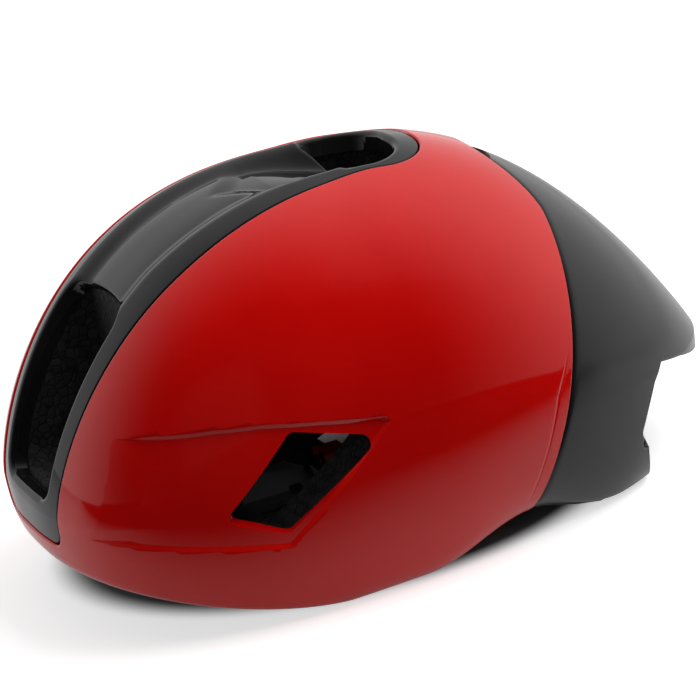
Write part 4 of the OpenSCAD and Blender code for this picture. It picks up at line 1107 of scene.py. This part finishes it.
def divider_strap(degrees, anchor_z, end, lead, tail, side):
    """Webbing from an anchor to a divider: a straight head, a cubic bend and a straight tail, its
    width turning from level at the wall to flat at the divider."""
    bearing = np.radians(degrees)
    n = cavity_normal(np.array(bearing), np.array(float(anchor_z)))
    p = cavity(np.array(bearing), np.array(float(anchor_z))) + 2 * n
    end, lead, tail, side = (np.array(v, float) for v in (end, lead, tail, side))
    t = np.linspace(0, 1, 49)[:, None]
    knots = (p, p + 10 * n, end + lead, end)
    weights = ((1 - t) ** 3, 3 * t * (1 - t) ** 2, 3 * t * t * (1 - t), t**3)
    line = sum(w * k for w, k in zip(weights, knots))
    steps = ((1 - t) ** 2, 2 * t * (1 - t), t * t)
    heading = sum(w * (b - a) for w, a, b in zip(steps, knots, knots[1:]))
    turn = np.array([-n[1], n[0], 0]) * (1 - t) + side * t
    line = np.concatenate([[p - 4 * n], line, [end + tail]])
    heading = np.concatenate([[4 * n], heading, [tail]])
    turn = np.concatenate([turn[:1], turn, turn[-1:]])
    width = unit(np.cross(unit(np.cross(heading, turn)), heading))
    centre = line[:, None] + width[:, None] * WIDTHS[None, :, None]
    return ribbon(centre, WEB_THICK, np.broadcast_to(WIDTHS, centre.shape[:2]))


front_strap = divider_strap(
    -8, 16, (DIVIDER_X + DIVIDER_HALF + 0.5, DIVIDER_Y, LAYER_B + WEB_THICK / 2), (10, 0, 0),
    (1.5 - DIVIDER_HALF, 0, 0), (0, -1, 0),
)
rear_strap = divider_strap(
    44, 25, (DIVIDER_X, DIVIDER_Y + DIVIDER_HALF + 0.5, LAYER_C + WEB_THICK / 2), (0, 16, 0),
    (0, -DIVIDER_HALF - 3, 0), (1, 0, 0),
)
for side in ("left", "right"):
    for name, strap in (("strap_front_", front_strap), ("strap_rear_", rear_strap)):
        soft_piece(name + side, *strap, web_material, "webbing", mirrored=side == "right")

# Chin straps: the same tape, folded flat on the table at two slanting folds between the divider and
# the buckle.
BUCKLE_Y, BUCKLE_HALF = -52, 20
FOLD_STEPS = np.linspace(0, np.pi, 9)


def folded_tape():
    """Each thread across the tape runs to the first fold, turns over it, runs forwards under the
    other layers, turns back over the second fold and ends in the buckle."""
    w = WIDTHS
    low, high = WEB_Z + WEB_THICK / 2, LAYER_B + WEB_THICK / 2
    middle, radius = (high + low) / 2, (high - low) / 2
    slant = radius / math.sqrt(2)
    rows = []

    def row(x, y, z):
        """One line of points across the tape."""
        rows.append(np.stack(np.broadcast_arrays(x, y, z), -1).astype(float))

    def fold(y, side):
        """Half a turn about a slanting edge, over it or under it."""
        for a in FOLD_STEPS[1:]:
            out = side * slant * np.sin(a)
            row(CHIN_X + w - out, y + w + out, middle + side * radius * np.cos(a))

    for share in np.linspace(0, 1, 7):
        row((DIVIDER_X - 0.5) * (1 - share) + (CHIN_X + w) * share, DIVIDER_Y + w, high)
    fold(DIVIDER_Y, 1)
    for share in np.linspace(0, 1, 25)[1:]:
        row(CHIN_X + w, DIVIDER_Y + w + (BUCKLE_Y - DIVIDER_Y) * share, low)
    fold(BUCKLE_Y, -1)
    for share in np.linspace(0, 1, 7)[1:]:
        row((CHIN_X + w) * (1 - share) + (BUCKLE_HALF - 3) * share, BUCKLE_Y + w, high)
    centre = np.array(rows)
    return ribbon(centre, WEB_THICK - 0.1, np.broadcast_to(w, centre.shape[:2]))


tape = folded_tape()
soft_piece("chin_strap_left", *tape, web_material, "webbing")
plug_strap = soft_piece("chin_strap_right", *tape, web_material, "webbing", None, mirrored=True)
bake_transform(plug_strap)

# Moulded nylon parts: anchors, pivot sockets, height strip, dividers, buckle, cradle, clips, bands
# and the dial with its shaft. Spark-eroded grain, a little lighter where hands and tape rub.
def dress(material, *nodes):
    """Puts a material on CAD nodes."""
    for node in nodes:
        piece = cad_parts[node]
        if not piece.material_slots:
            piece.data.materials.append(material)
        for held in piece.material_slots:
            held.material = material


def nylon(name, dark, light, rough):
    """Moulded nylon: fine eroded grain over a faint flow mottle, polished where it is handled."""
    material, start, spot = new_material(name)
    grain = noise(spot, 0.35, 3)
    flow = noise(spot, 9, 3).band(0.35, 0.7)
    rubbed = noise(spot, 4).band(0.55, 0.75)
    surface(start, {
        "Base Color": (flow * 0.7 + rubbed * 0.3).blend(dark, light),
        "Roughness": grain * 0.14 + (rough - rubbed * 0.08),
        "Specular IOR Level": 0.45,
        "Normal": bump(grain, 0.03),
    })
    return material


dress(
    nylon("moulded_nylon", (0.011, 0.011, 0.012), (0.02, 0.02, 0.022), 0.42),
    "strap_anchors", "pivot_socket_left", "pivot_socket_right", "height_strip", "divider_left",
    "divider_right", "buckle_socket", "buckle_plug", "cradle_housing", "cradle_cover", "clip_left",
    "clip_right", "dial_knob", "dial_pinion",
)
band_material = nylon("band_nylon", (0.016, 0.016, 0.017), (0.027, 0.027, 0.029), 0.5)
dress(band_material, "arm_left", "arm_right")

# Rubber: the ribbed ring that is moulded over the dial's rim for grip, and the stretchy keeper that
# holds the strap's loose end. Matt, with a little dust in its grain.
rubber_material, start, spot = new_material("soft_rubber")
speck = noise(spot, 0.5, 3)
dust = noise(spot, 6, 3).band(0.55, 0.8)
surface(start, {
    "Base Color": dust.blend((0.013, 0.013, 0.013), (0.03, 0.03, 0.029)),
    "Roughness": speck * 0.12 + 0.72,
    "Specular IOR Level": 0.3,
    "Normal": bump(speck, 0.05),
})
dress(rubber_material, "dial_grip", "strap_keeper")

# Divider levers: red acetal cams, moulded with a smooth surface. Each turns on the divider's pin
# and presses the webbing when it is closed.
lever_material, start, spot = new_material("red_acetal")
streak = noise(spot, 5, 3).band(0.35, 0.7)
surface(start, {
    "Base Color": streak.blend((0.5, 0.012, 0.009), (0.6, 0.02, 0.014)),
    "Roughness": noise(spot, 0.6) * 0.1 + 0.3,
    "Normal": bump(noise(spot, 0.5, 3), 0.02),
})
dress(lever_material, "cam_left", "cam_right")

# Hook dots: discs of self-adhesive hook tape on the cavity wall, a field of tiny nylon mushrooms on
# a thin backing, which the pads' cloth catches on.
hook_material, start, spot = new_material("hook_tape")
heads = start.node("TexVoronoi", {"Vector": spot, "Scale": 1.6, "Randomness": 0.35})
# Painted shade: the backing between the hook heads is darker than the heads, by the mask that also
# raises them.
heads_and_painted_shade = 1 - heads.band(0.12, 0.42)
surface(start, {
    "Base Color": heads_and_painted_shade.blend((0.006, 0.006, 0.007), (0.05, 0.05, 0.053)),
    "Roughness": 0.75 - heads_and_painted_shade * 0.3,
    "Normal": bump(heads_and_painted_shade, 0.4),
})
dress(hook_material, "pad_dots")

# Metal: the four steel screws that hold the cradle's cover, with turned heads, and the
# nickel-plated magnet pressed into the buckle's fixed half.
def turned_metal(name, tone, rough):
    """Plated metal with fine turning marks round each axis along the helmet."""
    material, start, spot = new_material(name)
    rings = {"Vector": spot, "Scale": 2.6, "Distortion": 0.6}
    marks = start.node("TexWave", rings, wave_type="RINGS")
    stain = noise(spot, 1.6, 3).band(0.3, 0.75)
    surface(start, {
        "Base Color": stain.blend((tone, tone, tone * 1.02), (tone * 0.7,) * 3),
        "Metallic": 1.0,
        "Roughness": marks * 0.1 + rough,
        "Normal": bump(marks, 0.01),
    })
    return material


dress(turned_metal("screw_steel", 0.56, 0.24), "cradle_screws")
dress(turned_metal("magnet_nickel", 0.62, 0.16), "buckle_magnet")
